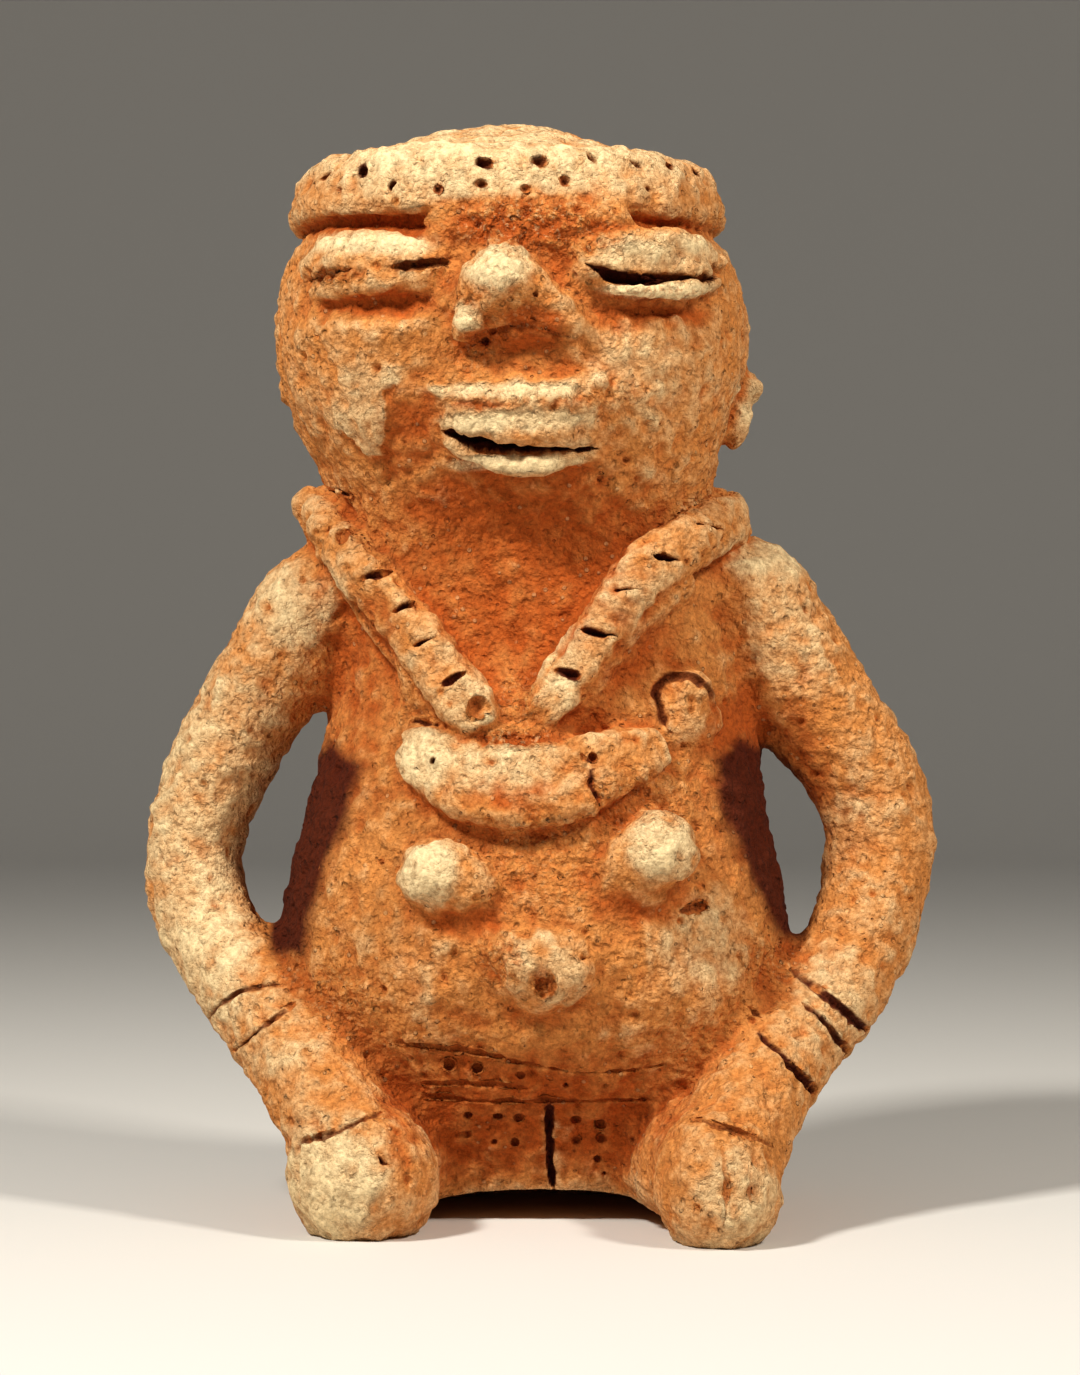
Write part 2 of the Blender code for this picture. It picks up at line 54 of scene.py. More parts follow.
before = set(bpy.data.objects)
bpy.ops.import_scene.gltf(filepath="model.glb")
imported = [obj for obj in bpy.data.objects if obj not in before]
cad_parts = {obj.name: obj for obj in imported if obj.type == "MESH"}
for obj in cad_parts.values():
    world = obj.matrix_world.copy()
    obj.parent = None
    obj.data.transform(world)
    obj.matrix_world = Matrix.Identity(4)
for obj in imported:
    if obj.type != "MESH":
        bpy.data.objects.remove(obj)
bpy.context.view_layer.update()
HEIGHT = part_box("statuette")[1].z
WORKED_HEIGHT = 190.0

# The eye, and how a place in the photograph, in its pixels, gives a place as seen: PIXEL is what one of
# them spans on the upright plane through the figure's middle
EYE_POINT = (0.0, -644.0, 91.4)
PHOTO_MIDDLE = (540.0, 687.0)
PHOTO_HEIGHT = 1375
PIXEL = 0.1765
FAR = 1000.0

# How often the creases are smoothed, and the cell of the smeared skin as a share of the body's
BODY_SOFTENING = 14
SKIN_SOFTENING = 6
SMEARED_SHARE = 0.75

# Head and trunk: sections from the top down, as height, middle x, half width, front depth and back depth
HEAD_SECTIONS = [
    (190.0, -7.0, 3, 3, 3), (189.4, -6.8, 8, 8, 8), (187.6, -6.5, 15, 14, 14), (184.8, -6.2, 23, 21, 20),
    (181.0, -5.9, 30, 27, 25.5), (176.0, -5.8, 34, 30.5, 28), (171.0, -5.8, 35.2, 31.2, 28.8),
    (167.5, -5.3, 37.8, 32.4, 30), (162.5, -5.0, 40.4, 33.5, 31), (154.7, -4.9, 41.7, 34.5, 31),
    (147.6, -4.9, 41.6, 35, 30), (138.8, -4.8, 38.4, 34.3, 28), (133.0, -4.2, 36.0, 32.2, 26),
    (127.0, -3.2, 33.8, 28.8, 23.5), (121.0, -2.6, 32.2, 25.5, 21.5), (112.0, -2.0, 31.0, 23, 19.5),
]
TRUNK_SECTIONS = [
    (125, -2, 26, 20, 17), (120, -2, 31.5, 23.5, 20), (113, -2, 33.5, 23.8, 21),
    (105, -1, 34.5, 24.2, 21.5), (97, 0, 35.5, 25, 22.5), (89, 0.3, 36.8, 26.5, 24.5),
    (80, -0.2, 38.1, 29, 26.5), (70, -0.9, 40.1, 32, 29), (61, -0.7, 42.7, 34.5, 31.5),
    (52, -0.9, 44.6, 36.3, 33.5), (43, -0.9, 45.2, 36.5, 35), (35, -0.2, 44.7, 34.8, 36),
    (27, 0, 42.7, 31, 36.5), (18, 0, 40, 26, 36), (9, 0, 37.5, 21, 34), (0, 0, 35.5, 17.5, 31),
    (-5, 0, 33, 15, 28),
]
SECTION_ROUNDNESS = 0.88

# Arms, from the shoulder to the hand on the knee, and legs, as x, y, z and radius
LEFT_ARM = [
    (-22, 1, 108, 9.5), (-36.2, 0, 108.0, 10.4), (-44.4, 1, 97.6, 10.4), (-53.8, 2, 83.5, 9.5),
    (-59.5, 2, 71.0, 8.8), (-61.0, 1, 60.5, 8.8), (-57.9, -3, 49.6, 8.9), (-50.4, -10, 39.6, 9.5),
    (-42.8, -19, 30.9, 9.2), (-36.6, -28, 22.5, 9.3), (-31.9, -34, 13.4, 10.2),
]
RIGHT_ARM = [
    (22, 1, 107, 10), (34.9, 0, 107.0, 11.3), (40.6, 1, 98.5, 11.8), (49.6, 2, 87.0, 10.8),
    (56.0, 2, 78.0, 9.9), (59.6, 2, 68.4, 9.8), (59.6, 1, 59.0, 9.8), (55.8, -4, 47.0, 9.5),
    (49.5, -11, 37.1, 9.2), (42.3, -20, 29.3, 8.7), (35.7, -30, 21.1, 8.9), (30.2, -40, 12.6, 10.0),
]
LEFT_LEG = [(-22, 4, 11, 11), (-26, -12, 11, 12), (-30.0, -28, 10.5, 12)]
RIGHT_LEG = [(20, 4, 11, 11), (24, -14, 11, 11.5), (28.6, -34, 10.5, 10.6)]
LEFT_KNEE = ((-29.6, -33, 9.8), (12.9, 13.4, 13.0))
RIGHT_KNEE = ((29.2, -41, 9.4), (10.8, 13.8, 13.4))

# Headband: its cross-section as height above its lower edge and how far out from the head it stands
BAND_LOW = 170.8
BAND_PROFILE = [
    (0.0, -0.6), (0.3, 1.2), (0.9, 2.5), (2.6, 3.1), (4.8, 2.8), (6.8, 2.3), (8.8, 1.5), (10.6, 0.5),
    (11.9, -1.4), (12.4, -3.2), (12.0, -10.0), (2.0, -10.0),
]

# Pieces on the front, in the photograph's pixels. First those smeared into the body. Pellets: place, how
# far proud, and three radii in millimetres.
SMEARED_PELLETS = [
    ((376, 269), 0.0, (12.4, 3.4, 5.0)),
    ((642, 267), 0.2, (13.6, 3.6, 5.6)),
    ((500, 280), 2.2, (7.4, 6.0, 5.4)),
    ((527, 312), 0.2, (8.6, 4.4, 5.0)),
    ((530, 224), 0.0, (19.0, 3.0, 6.0)),
    ((438, 876), 1.0, (7.0, 6.0, 6.2)),
    ((462, 884), 0.2, (6.4, 4.2, 5.4)),
    ((654, 855), 1.8, (6.8, 7.2, 6.8)),
    ((640, 872), 0.2, (7.4, 4.6, 6.8)),
    ((546, 970), 0.2, (7.8, 4.6, 7.0)),
    ((512, 952), 0.0, (5.0, 2.6, 4.0)),
    ((688, 700), 0.6, (4.8, 4.0, 5.8)),
    ((694, 722), 0.2, (6.6, 3.0, 4.4)),
    ((522, 712), -0.8, (7.0, 2.6, 5.4)),
    ((512, 738), 0.2, (11.0, 2.8, 3.4)),
]

# Rolls: rows of a place, how far proud the middle is and radius; then the section's height and squareness
SMEARED_ROLLS = {
    "nose_ridge": ([(507, 230, -0.6, 2.6), (505, 252, 1.6, 3.6), (502, 272, 4.4, 4.4),
                    (499, 285, 5.0, 4.6), (497, 298, 2.6, 4.2), (494, 314, 0.2, 3.2)], 1.0, 1.0),
    "nose_right_wing": ([(514, 288, 2.6, 3.8), (540, 304, 1.8, 3.6), (562, 319, 1.0, 3.0),
                         (586, 334, -0.4, 2.2)], 0.9, 1.0),
    "nose_left_wing": ([(478, 290, 2.0, 3.4), (468, 304, 1.6, 2.8)], 1.0, 1.0),
    "lip_slab": ([(434, 406, -1.0, 3.0), (470, 408, 0.0, 4.6), (520, 409, 0.3, 5.0), (570, 407, 0.0, 4.4),
                  (612, 398, -1.2, 2.6)], 0.55, 1.0),
    "cheek_fold": ([(296, 338, -0.8, 2.2), (340, 332, -0.4, 2.8), (400, 328, -0.4, 2.8),
                    (446, 312, -0.4, 2.2)], 0.9, 1.0),
    "strap_bed_left": ([(456, 716, -1.0, 4.0), (420, 662, -0.6, 5.4), (376, 592, -0.8, 5.8),
                        (346, 552, -1.2, 5.0)], 0.9, 0.8),
    "strap_bed_right": ([(564, 696, -1.2, 4.8), (610, 630, -0.6, 6.0), (672, 560, -0.8, 6.0)], 0.9, 0.8),
}

# Then the crisper ones
CRISP_PELLETS = [
    ((447, 303), 0.6, (2.0, 1.6, 1.4)),
    ((320, 506), 4.6, (2.6, 3.4, 3.6)),
    ((346, 536), 5.0, (3.3, 2.6, 3.3)),
]
CRISP_ROLLS = {
    "nose_left_knob": ([(462, 300, 1.2, 1.6), (470, 312, 2.6, 2.2), (468, 325, 2.8, 2.5),
                        (461, 338, 1.0, 1.9)], 1.0, 1.0),
    "nose_right_rim": ([(530, 292, 0.4, 1.2), (552, 309, 0.8, 1.5), (574, 325, 0.6, 1.4),
                        (590, 340, 0.0, 0.9)], 0.8, 1.0),
    "left_upper_lid": ([(306, 276, 0.4, 1.3), (328, 258, 1.5, 2.0), (372, 249, 2.2, 2.3),
                        (415, 252, 1.8, 2.0), (447, 261, 0.5, 1.1)], 0.7, 1.0),
    "left_lower_lid": ([(312, 290, 0.2, 1.0), (342, 291, 1.2, 1.7), (380, 284, 1.8, 1.8),
                        (415, 275, 1.5, 1.5), (446, 266, 0.5, 0.9)], 0.7, 1.0),
    "right_upper_lid": ([(570, 262, 0.6, 1.9), (600, 253, 2.0, 2.6), (640, 250, 2.8, 2.9),
                         (680, 253, 2.5, 2.6), (716, 264, 0.9, 1.6)], 0.75, 0.9),
    "right_lower_lid": ([(588, 284, 0.7, 0.9), (612, 289, 2.2, 1.4), (650, 293, 2.9, 1.5),
                         (685, 290, 2.4, 1.4), (714, 282, 0.8, 0.9)], 1.0, 0.8),
    "lip_crest": ([(427, 385, 0.2, 0.7), (445, 391, 1.0, 1.1), (466, 397, 0.9, 0.9), (492, 395, 1.3, 1.3),
                   (532, 391, 1.2, 1.1), (560, 387, 1.3, 1.3), (604, 379, 0.2, 0.8)], 0.9, 1.0),
    "upper_lip": ([(444, 421, 0.2, 1.2), (470, 421, 1.3, 2.1), (510, 425, 1.8, 2.4), (555, 430, 1.4, 2.1),
                   (602, 440, 0.2, 1.1)], 0.75, 0.8),
    "lower_lip": ([(446, 441, 0.3, 0.9), (475, 451, 1.5, 1.5), (508, 458, 2.1, 1.9), (545, 458, 1.7, 1.6),
                   (600, 452, 0.4, 0.9)], 1.0, 0.9),
}
# Ears: centre and three radii
EARS = [
    ((34.5, 1, 139.2), (3.4, 4.4, 6.2)),
    ((36.8, 0, 144.2), (2.4, 3.0, 3.0)),
    ((-44.4, 1, 144.4), (2.2, 3.6, 3.6)),
]

# Shoulder strap, from the left tip round the nape to the right tip. Its front is as seen, and its back
# is the turn from the front in degrees, and the height, round the neck's axis. Then how far proud its
# middle stands, and its radius.
STRAP_LEFT = [
    (-10.3, 83.8, 0.6, 3.6), (-11.9, 87.0, 1.4, 4.9), (-15.6, 92.3, 1.6, 4.9), (-20.0, 98.8, 1.6, 4.9),
    (-24.9, 105.3, 1.5, 4.9), (-29.6, 111.6, 1.2, 4.8),
]
NAPE_AXIS_X = -2.0
NAPE = [
    (-80, 119.2, 1.8, 4.4), (-92, 122.6, 2.2, 4.5), (-110, 124.4, 1.0, 4.0), (-145, 125.2, 0.4, 3.9),
    (-180, 125.4, 0.4, 3.9), (-215, 125.0, 0.4, 3.9), (-250, 124.0, 1.0, 4.0), (-269, 121.8, 2.0, 4.5),
    (-284, 119.0, 1.6, 4.4),
]
STRAP_RIGHT = [
    (20.6, 114.2, 1.5, 4.7), (14.9, 107.8, 1.7, 4.8), (9.8, 101.1, 1.7, 4.7), (5.3, 93.7, 1.6, 4.4),
    (1.6, 88.4, 1.0, 4.2), (-0.6, 84.8, -0.2, 2.6),
]

# Crescent pendant below the strap's tips
CRESCENT = [
    (-24.4, 80.9, 0.2, 2.8), (-22.4, 80.0, 0.4, 4.4), (-18.4, 77.8, 0.5, 5.8), (-12.6, 74.6, 0.5, 6.8),
    (-3.4, 73.2, 0.4, 7.6), (5.5, 74.8, 0.4, 7.0), (11.0, 77.4, 0.5, 6.0), (16.2, 79.4, 0.5, 5.0),
    (19.6, 80.2, 0.4, 3.8), (21.2, 80.6, 0.2, 2.4),
]
CRESCENT_FLATNESS = 0.66

# Underside: the clay arches up between the knees
ARCH_MIDDLE = (0.4, -11.0)
ARCH_RADII = (25.0, 27.0, 5.8)

# Cuts, in the photograph's pixels: the two ends, width and depth in millimetres. Pits of the headband:
BAND_PITS = [
    ((320, 180), (334, 171), 0.60, 1.1), ((356, 172), (370, 168), 1.05, 2.0),
    ((415, 160), (428, 163), 0.70, 0.7), ((474, 160), (492, 163), 0.75, 1.9),
    ((531, 156), (546, 162), 0.80, 1.4), ((586, 151), (597, 163), 0.55, 0.9),
    ((628, 159), (645, 168), 0.60, 0.9), ((667, 161), (674, 171), 0.70, 1.0),
    ((693, 166), (702, 180), 0.70, 1.5), ((336, 190), (343, 187), 0.50, 0.8),
    ((394, 178), (391, 193), 0.70, 1.9), ((436, 185), (439, 192), 0.45, 0.9),
    ((476, 182), (487, 183), 0.55, 1.1), ((521, 186), (529, 189), 0.45, 0.8),
    ((562, 176), (569, 184), 0.60, 1.0), ((645, 185), (650, 192), 0.50, 1.0),
    ((675, 194), (678, 201), 0.45, 0.7),
]
# The band's rows round the back: height and start, in steps, and how many steps make a full turn
BACK_BAND_ROWS = [(179.4, 0.0), (174.9, 0.5)]
BACK_BAND_PITS = 23

# Round holes, in the photograph's pixels, with radius and depth in millimetres
HOLES = [
    (433, 760, 0.6, 1.6), (593, 756, 0.5, 1.2), (480, 706, 1.5, 1.7),
    (541, 978, 1.9, 1.0), (546, 988, 1.7, 1.0), (582, 959, 0.8, 1.2),
    (342, 534, 1.2, 1.5), (487, 340, 0.9, 1.3), (535, 294, 0.5, 0.9),
    (448, 1067, 0.54, 1.1), (477, 1069, 0.58, 1.2), (521, 1075, 0.56, 0.8), (566, 1084, 0.56, 1.0),
    (605, 1083, 0.52, 0.8),
    (467, 1114, 0.62, 1.3), (498, 1115, 0.60, 1.2), (518, 1118, 0.58, 1.2), (467, 1134, 0.62, 1.3),
    (495, 1141, 0.62, 1.3), (515, 1142, 0.60, 1.2), (576, 1119, 0.62, 1.3), (601, 1125, 0.60, 1.2),
    (576, 1141, 0.60, 1.3), (602, 1139, 0.62, 1.2), (632, 1139, 0.55, 1.0), (597, 1158, 0.62, 1.3),
    (604, 1173, 0.55, 1.0),
]

# Cuts across the strap
NOTCHES = [
    ((360, 578), (392, 570), 0.6, 1.9), ((392, 612), (415, 600), 0.62, 1.9),
    ((413, 646), (436, 636), 0.55, 1.7), ((440, 687), (466, 671), 0.6, 1.7),
    ((690, 523), (726, 530), 0.55, 1.9), ((646, 554), (682, 560), 0.6, 2.1),
    ((614, 590), (642, 589), 0.5, 1.6), ((578, 629), (618, 636), 0.7, 2.3),
    ((554, 669), (580, 676), 0.65, 1.5),
]

# Incised lines, in the photograph's pixels, then width and depth in millimetres
LINES = [
    ([(393, 1042), (450, 1050), (506, 1058)], 0.30, 0.6),
    ([(502, 1060), (540, 1065), (574, 1071), (632, 1070), (668, 1063)], 0.28, 0.5),
    ([(420, 1085), (470, 1084), (530, 1088)], 0.3, 0.4),
    ([(418, 1096), (488, 1101), (540, 1101), (600, 1100), (655, 1099)], 0.30, 0.5),
    ([(294, 1142), (320, 1136), (345, 1127), (384, 1110)], 0.45, 0.8),
    ([(690, 1115), (716, 1122), (747, 1132), (776, 1144)], 0.42, 0.8),
    ([(215, 1068), (235, 1050), (262, 1028), (296, 1000)], 0.5, 1.0),
    ([(198, 1030), (213, 1012), (240, 992), (280, 984)], 0.5, 0.8),
    ([(790, 966), (820, 990), (862, 1026), (874, 1038), (880, 1048)], 0.7, 1.6),
    ([(802, 1002), (822, 1020), (845, 1047), (858, 1062), (864, 1074)], 0.6, 1.4),
    ([(760, 1030), (786, 1060), (816, 1089), (832, 1104), (838, 1114)], 0.72, 1.7),
    ([(744, 1002), (765, 1022)], 0.5, 0.8),
    ([(377, 1155), (388, 1166)], 0.6, 1.3),
    ([(722, 1142), (727, 1190), (724, 1226)], 0.26, 0.3),
    ([(752, 1160), (750, 1212)], 0.24, 0.28),
    ([(679, 912), (694, 908), (709, 905)], 0.45, 1.2),
]
# Slits, the same way, then how much the cut rises as it goes in, and how dark its inside is painted, as
# painted shade with some dirt
SLITS = {
    "skirt": ([(549, 1102), (550, 1150), (554, 1190)], 0.6, 2.4, 0.0, 0.9),
    "left_eye": ([(390, 267), (418, 265), (449, 261)], 0.75, 2.4, 0.3, 0.6),
    "left_eye_outer": ([(309, 280), (330, 273), (354, 268)], 1.2, 1.4, 0.0, 0.2),
    "right_eye": ([(584, 262), (602, 270), (620, 277), (644, 280), (672, 280)], 0.85, 3.2, 0.35, 0.9),
    "right_eye_tail": ([(640, 278), (680, 278), (720, 277)], 0.8, 2.6, 0.3, 0.6),
    "mouth": ([(441, 430), (472, 440), (505, 447), (540, 450), (600, 448)], 1.0, 5.0, 0.40, 1.0),
    "nostrils": ([(472, 334), (498, 328), (535, 327), (574, 337)], 0.8, 0.8, 0.0, 0.3),
    "armpit": ([(671, 738), (662, 712), (655, 690), (666, 679), (686, 676), (703, 684), (717, 701)],
               0.85, 1.2, 0.0, 0.62),
}

# Cracks: rough thin lines where clay was joined or dried, in the photograph's pixels
CRACKS = [
    [(724, 536), (712, 546), (698, 560)],
    [(580, 750), (592, 775), (598, 810)],
    [(407, 720), (440, 727)],
    [(728, 395), (722, 430), (716, 452)],
    [(310, 492), (330, 488), (352, 494)],
    [(668, 520), (694, 504), (720, 494)],
]

# Thin crust that stands proud of the left cheek: its outline, in the photograph's pixels, then the fields,
# of the kind below, in which its step and its colour show, and its height
CRUST = [
    (318, 345), (345, 334), (372, 340), (400, 352), (410, 368), (396, 382), (385, 392), (389, 425),
    (385, 455), (368, 458), (352, 440), (334, 424), (316, 402), (306, 372),
]
CRUST_CRISP = (372, 420, 44, 60, 1.0)
CRUST_FIELD = (374, 412, 50, 66, 0.62)
CRUST_HEIGHT = 0.65

# Oval fields of the skin, each as its middle, half width and half height in the photograph's pixels, and
# how strong it is. Dents are in millimetres.
DENTS = [
    (385, 306, 62, 13, 1.1), (525, 362, 60, 14, 0.7), (528, 610, 80, 95, 1.3), (365, 660, 40, 70, 1.4),
    (650, 660, 40, 60, 0.9), (700, 740, 50, 60, 1.2), (645, 310, 60, 8, 0.6), (375, 222, 75, 9, 0.9),
    (415, 420, 22, 26, 0.5), (540, 1010, 110, 22, 0.6), (540, 1140, 90, 30, 0.3),
]
SOFTENED = [
    (500, 285, 70, 55, 0.9), (530, 226, 84, 16, 0.6), (400, 330, 110, 14, 0.9),
    (520, 405, 120, 24, 0.55), (600, 440, 30, 30, 0.8), (350, 370, 90, 70, 0.9), (450, 450, 30, 30, 0.6),
]
CRUMBLY = [
    (530, 222, 85, 28, 1.0), (655, 292, 60, 9, 0.5), (515, 398, 80, 12, 0.4), (540, 860, 60, 60, 0.35),
    (332, 274, 26, 10, 0.7), (516, 738, 46, 10, 1.0), (520, 700, 28, 30, 0.5), (500, 305, 60, 36, 0.35),
    (543, 984, 14, 14, 0.7), (500, 960, 28, 28, 0.6), (640, 800, 60, 40, 0.4), (470, 350, 30, 30, 0.4),
    (590, 240, 40, 14, 0.6), (340, 1000, 40, 40, 0.5), (770, 960, 30, 26, 0.5), (290, 960, 18, 40, 0.4),
    (610, 395, 40, 20, 0.4),
]
# Pale slip in patches, and painted highlight on lit tops such as the nose tip, breasts, lids, lips and
# headband
SLIP_AND_PAINTED_HIGHLIGHT = [
    (205, 800, 80, 170, 0.50), (200, 950, 60, 110, 0.65), (330, 1180, 60, 60, 0.80),
    (290, 610, 60, 50, 0.52), (735, 1195, 44, 50, 0.50), (497, 262, 36, 30, 0.75), (466, 314, 15, 18, 0.55),
    (426, 872, 32, 32, 0.72), (658, 845, 34, 34, 0.75), (430, 757, 36, 30, 0.85), (500, 752, 80, 22, 0.45),
    (510, 774, 92, 24, 0.46), (500, 165, 220, 40, 0.66), (490, 136, 130, 22, 0.7), (380, 243, 66, 13, 0.8),
    (655, 250, 66, 18, 0.75), (655, 291, 66, 9, 1.0), (515, 390, 92, 9, 0.85), (520, 405, 84, 14, 0.45),
    (520, 420, 84, 13, 1.0), (510, 463, 62, 9, 1.0), (345, 385, 50, 60, 0.25), (770, 560, 44, 26, 0.6),
    (786, 640, 50, 60, 0.34), (860, 800, 50, 120, 0.10), (830, 1000, 50, 60, 0.35),
    (280, 1030, 70, 60, 0.30), (745, 400, 16, 26, 0.5), (470, 700, 26, 30, 0.4), (484, 718, 11, 6, 0.8),
    (566, 683, 14, 5, 0.8), (560, 660, 26, 40, 0.45), (630, 590, 50, 50, 0.25), (545, 960, 40, 30, 0.20),
    (640, 380, 70, 60, 0.42), (700, 940, 50, 50, 0.5),
]
# Painted shade: fields painted redder and darker where shade falls, under the chin, band, eyes, nose and
# pendant, between the legs, in the armpits and on the flanks
PAINTED_SHADE_FIELDS = [
    (530, 560, 130, 110, 0.72), (540, 1110, 130, 70, 0.85), (350, 740, 34, 70, 0.5),
    (740, 800, 44, 80, 0.5), (480, 228, 110, 14, 0.6), (375, 302, 56, 14, 0.7), (370, 640, 36, 60, 0.5),
    (650, 660, 50, 40, 0.4), (380, 228, 90, 12, 0.7), (640, 318, 80, 12, 0.6), (510, 505, 130, 40, 0.8),
    (400, 430, 40, 50, 0.6), (535, 322, 44, 16, 0.9), (510, 338, 54, 14, 1.0), (520, 800, 110, 22, 0.5),
    (460, 920, 50, 18, 0.5), (640, 905, 50, 20, 0.5), (540, 1020, 90, 18, 0.3), (600, 730, 60, 20, 0.3),
    (400, 1130, 20, 70, 0.6), (665, 1130, 20, 60, 0.4), (738, 732, 38, 42, 0.95), (802, 772, 30, 80, 0.75),
    (650, 225, 80, 8, 0.5), (480, 404, 32, 6, 0.9), (576, 401, 28, 6, 0.7),
]

# The arms' shadow on the sheltered flanks, painted dark into the colour: their outlines in the photograph's
# pixels, how far inside them it is full, and how far from the middle plane it fades out, so that it stays
# off the arms
PAINTED_ARM_SHADOWS = [
    [(330, 726), (374, 760), (360, 812), (346, 850), (326, 905), (312, 966), (230, 966), (230, 850),
     (290, 760)],
    [(704, 750), (738, 726), (776, 740), (840, 800), (846, 950), (770, 950), (742, 890), (720, 836),
     (704, 796)],
]
SHADE_EDGE = 6.0
SHADE_LIMITS = (48.0, 45.0)

# Stage, in metres: the floor is flat as far as FLOOR_FLAT and then bends up to a rim
FLOOR_MIDDLE = 1.0
FLOOR_FLAT = 1.3
FLOOR_BEND = 0.9
FLOOR_RIM = 1.6
FLOOR_SIDES = 72
BEND_STEPS = 24
LAMPS = {"left_light": ((-0.38, -0.40, 0.68), (1.0, 0.97, 0.90)),
         "right_light": ((0.46, -0.36, 0.62), (1.0, 0.95, 0.86))}
LAMP_AIM = (0, 0, 0.09)
LAMP_SIZE = 0.12
SENSOR = 36.0


class StatuetteSizes(bpy.types.PropertyGroup):
    height: bpy.props.FloatProperty(
        name="Height", description="From the ground to the crown", default=HEIGHT, unit="LENGTH")
    lump_height: bpy.props.FloatProperty(
        name="Lump height", description="How far the hand's unevenness stands out",
        default=0.0011, unit="LENGTH")
    grain_height: bpy.props.FloatProperty(
        name="Grain height", description="How far the gritty skin stands out",
        default=0.0006, unit="LENGTH")
    body_voxel: bpy.props.FloatProperty(
        name="Body fineness", description="Cell in which the body is fused", default=0.0011, unit="LENGTH")
    skin_voxel: bpy.props.FloatProperty(
        name="Skin fineness", description="Cell in which the skin is fused", default=0.00055, unit="LENGTH")
    triangles: bpy.props.IntProperty(
        name="Triangles", description="Triangles of the finished figure", default=192000)


class StatuetteColours(bpy.types.PropertyGroup):
    clay: bpy.props.FloatVectorProperty(
        name="Clay", description="Fired orange clay", subtype="COLOR", size=4,
        default=(0.60, 0.245, 0.070, 1.0))
    # Redder colour: the clay's random redder tone, and painted shade in hollows and shaded places
    deep: bpy.props.FloatVectorProperty(
        name="Deep clay", description="Redder clay of the hollows", subtype="COLOR", size=4,
        default=(0.42, 0.100, 0.018, 1.0))
    # Pale slip, and the colour of painted highlight on high places and lit tops
    slip: bpy.props.FloatVectorProperty(
        name="Slip", description="Pale slip left on the high places", subtype="COLOR", size=4,
        default=(0.80, 0.61, 0.35, 1.0))
    # Dark grit specks, and the colour of the painted shadow on the flanks and the painted shade in cuts
    specks_and_painted_shade: bpy.props.FloatVectorProperty(
        name="Dark specks", description="Dark grit and dirt", subtype="COLOR", size=4,
        default=(0.09, 0.015, 0.005, 1.0))


class StatuetteStage(bpy.types.PropertyGroup):
    floor: bpy.props.FloatVectorProperty(
        name="Floor", description="Plain pale floor", subtype="COLOR", size=4,
        default=(0.72, 0.70, 0.67, 1.0))
    room: bpy.props.FloatVectorProperty(
        name="Room", description="Even light of the room", subtype="COLOR", size=4,
        default=(0.13, 0.128, 0.125, 1.0))
    left_power: bpy.props.FloatProperty(
        name="Left light", description="Soft lamp above the front, at the left", default=5.8, unit="POWER")
    right_power: bpy.props.FloatProperty(
        name="Right light", description="Soft lamp above the front, at the right", default=3.5, unit="POWER")


def unit(vectors):
    """Each vector divided by its length."""
    return vectors / np.maximum(np.linalg.norm(vectors, axis=-1, keepdims=True), 1e-9)


def fullness(wave, power):
    """A cosine or sine raised to a power with its sign kept, which squares or slims an oval."""
    return np.sign(wave) * np.abs(wave) ** power


def soft_step(low, high, value):
    """0 below low, 1 above high, and the cubic 3t^2 - 2t^3 between."""
    t = np.clip((value - low) / (high - low), 0.0, 1.0)
    return t * t * (3.0 - 2.0 * t)


def smooth_through(rows, steps):
    """The Catmull-Rom curve through the rows: each span is a cubic in t of the four rows round it."""
    rows = np.asarray(rows, float)
    padded = np.vstack((rows[:1], rows, rows[-1:]))
    a, b, c, d = (padded[i : len(padded) - 3 + i] for i in range(4))
    t = (np.arange(steps) / steps)[:, None, None]
    bend = (2 * a - 5 * b + 4 * c - d) * t**2
    spans = 0.5 * (2 * b + (c - a) * t + bend + (3 * b - a - 3 * c + d) * t**3)
    return np.vstack((spans.transpose(1, 0, 2).reshape(-1, rows.shape[1]), rows[-1:]))


def oval(sections, turns, out=0.0):
    """Outlines of sections: at turn a the point stands half a width times cos a across and a depth times
    sin a along, both waves raised to SECTION_ROUNDNESS, with front and back depths of their own."""
    z, middle, half, front, back = (column[:, None] for column in np.asarray(sections, float).T)
    across = fullness(np.cos(turns), SECTION_ROUNDNESS)[None]
    along = fullness(np.sin(turns), SECTION_ROUNDNESS)[None]
    depth = np.where(along > 0, back, front)
    x = middle + (half + out) * across
    return np.stack((x, (depth + out) * along, np.broadcast_to(z, x.shape)), -1)


def loft(sections, sides=96, steps=6):
    """A grid of rings: the section outlines on a smooth curve down the body."""
    turns = np.linspace(0, 2 * np.pi, sides, endpoint=False)
    return oval(smooth_through(sections, steps), turns)


def roll(path, outward, height=1.0, squareness=1.0, sides=20, steps=6):
    """A grid along a smooth path of x, y, z and radius r: at turn a the skin lies r cos a to the side and
    r height sin a outward, both waves raised to squareness."""
    rows = smooth_through(np.hstack((path, np.broadcast_to(outward, (len(path), 3)))), steps)
    place, radius, outward = rows[:, :3], rows[:, 3], rows[:, 4:]
    along = unit(np.gradient(place, axis=0))
    side = unit(np.cross(along, outward))[:, None]
    up = unit(np.cross(side[:, 0], along))[:, None]
    turns = np.linspace(0, 2 * np.pi, sides, endpoint=False)[None, :, None]
    across, rise = fullness(np.cos(turns), squareness), height * fullness(np.sin(turns), squareness)
    return place[:, None] + radius[:, None, None] * (side * across + up * rise)


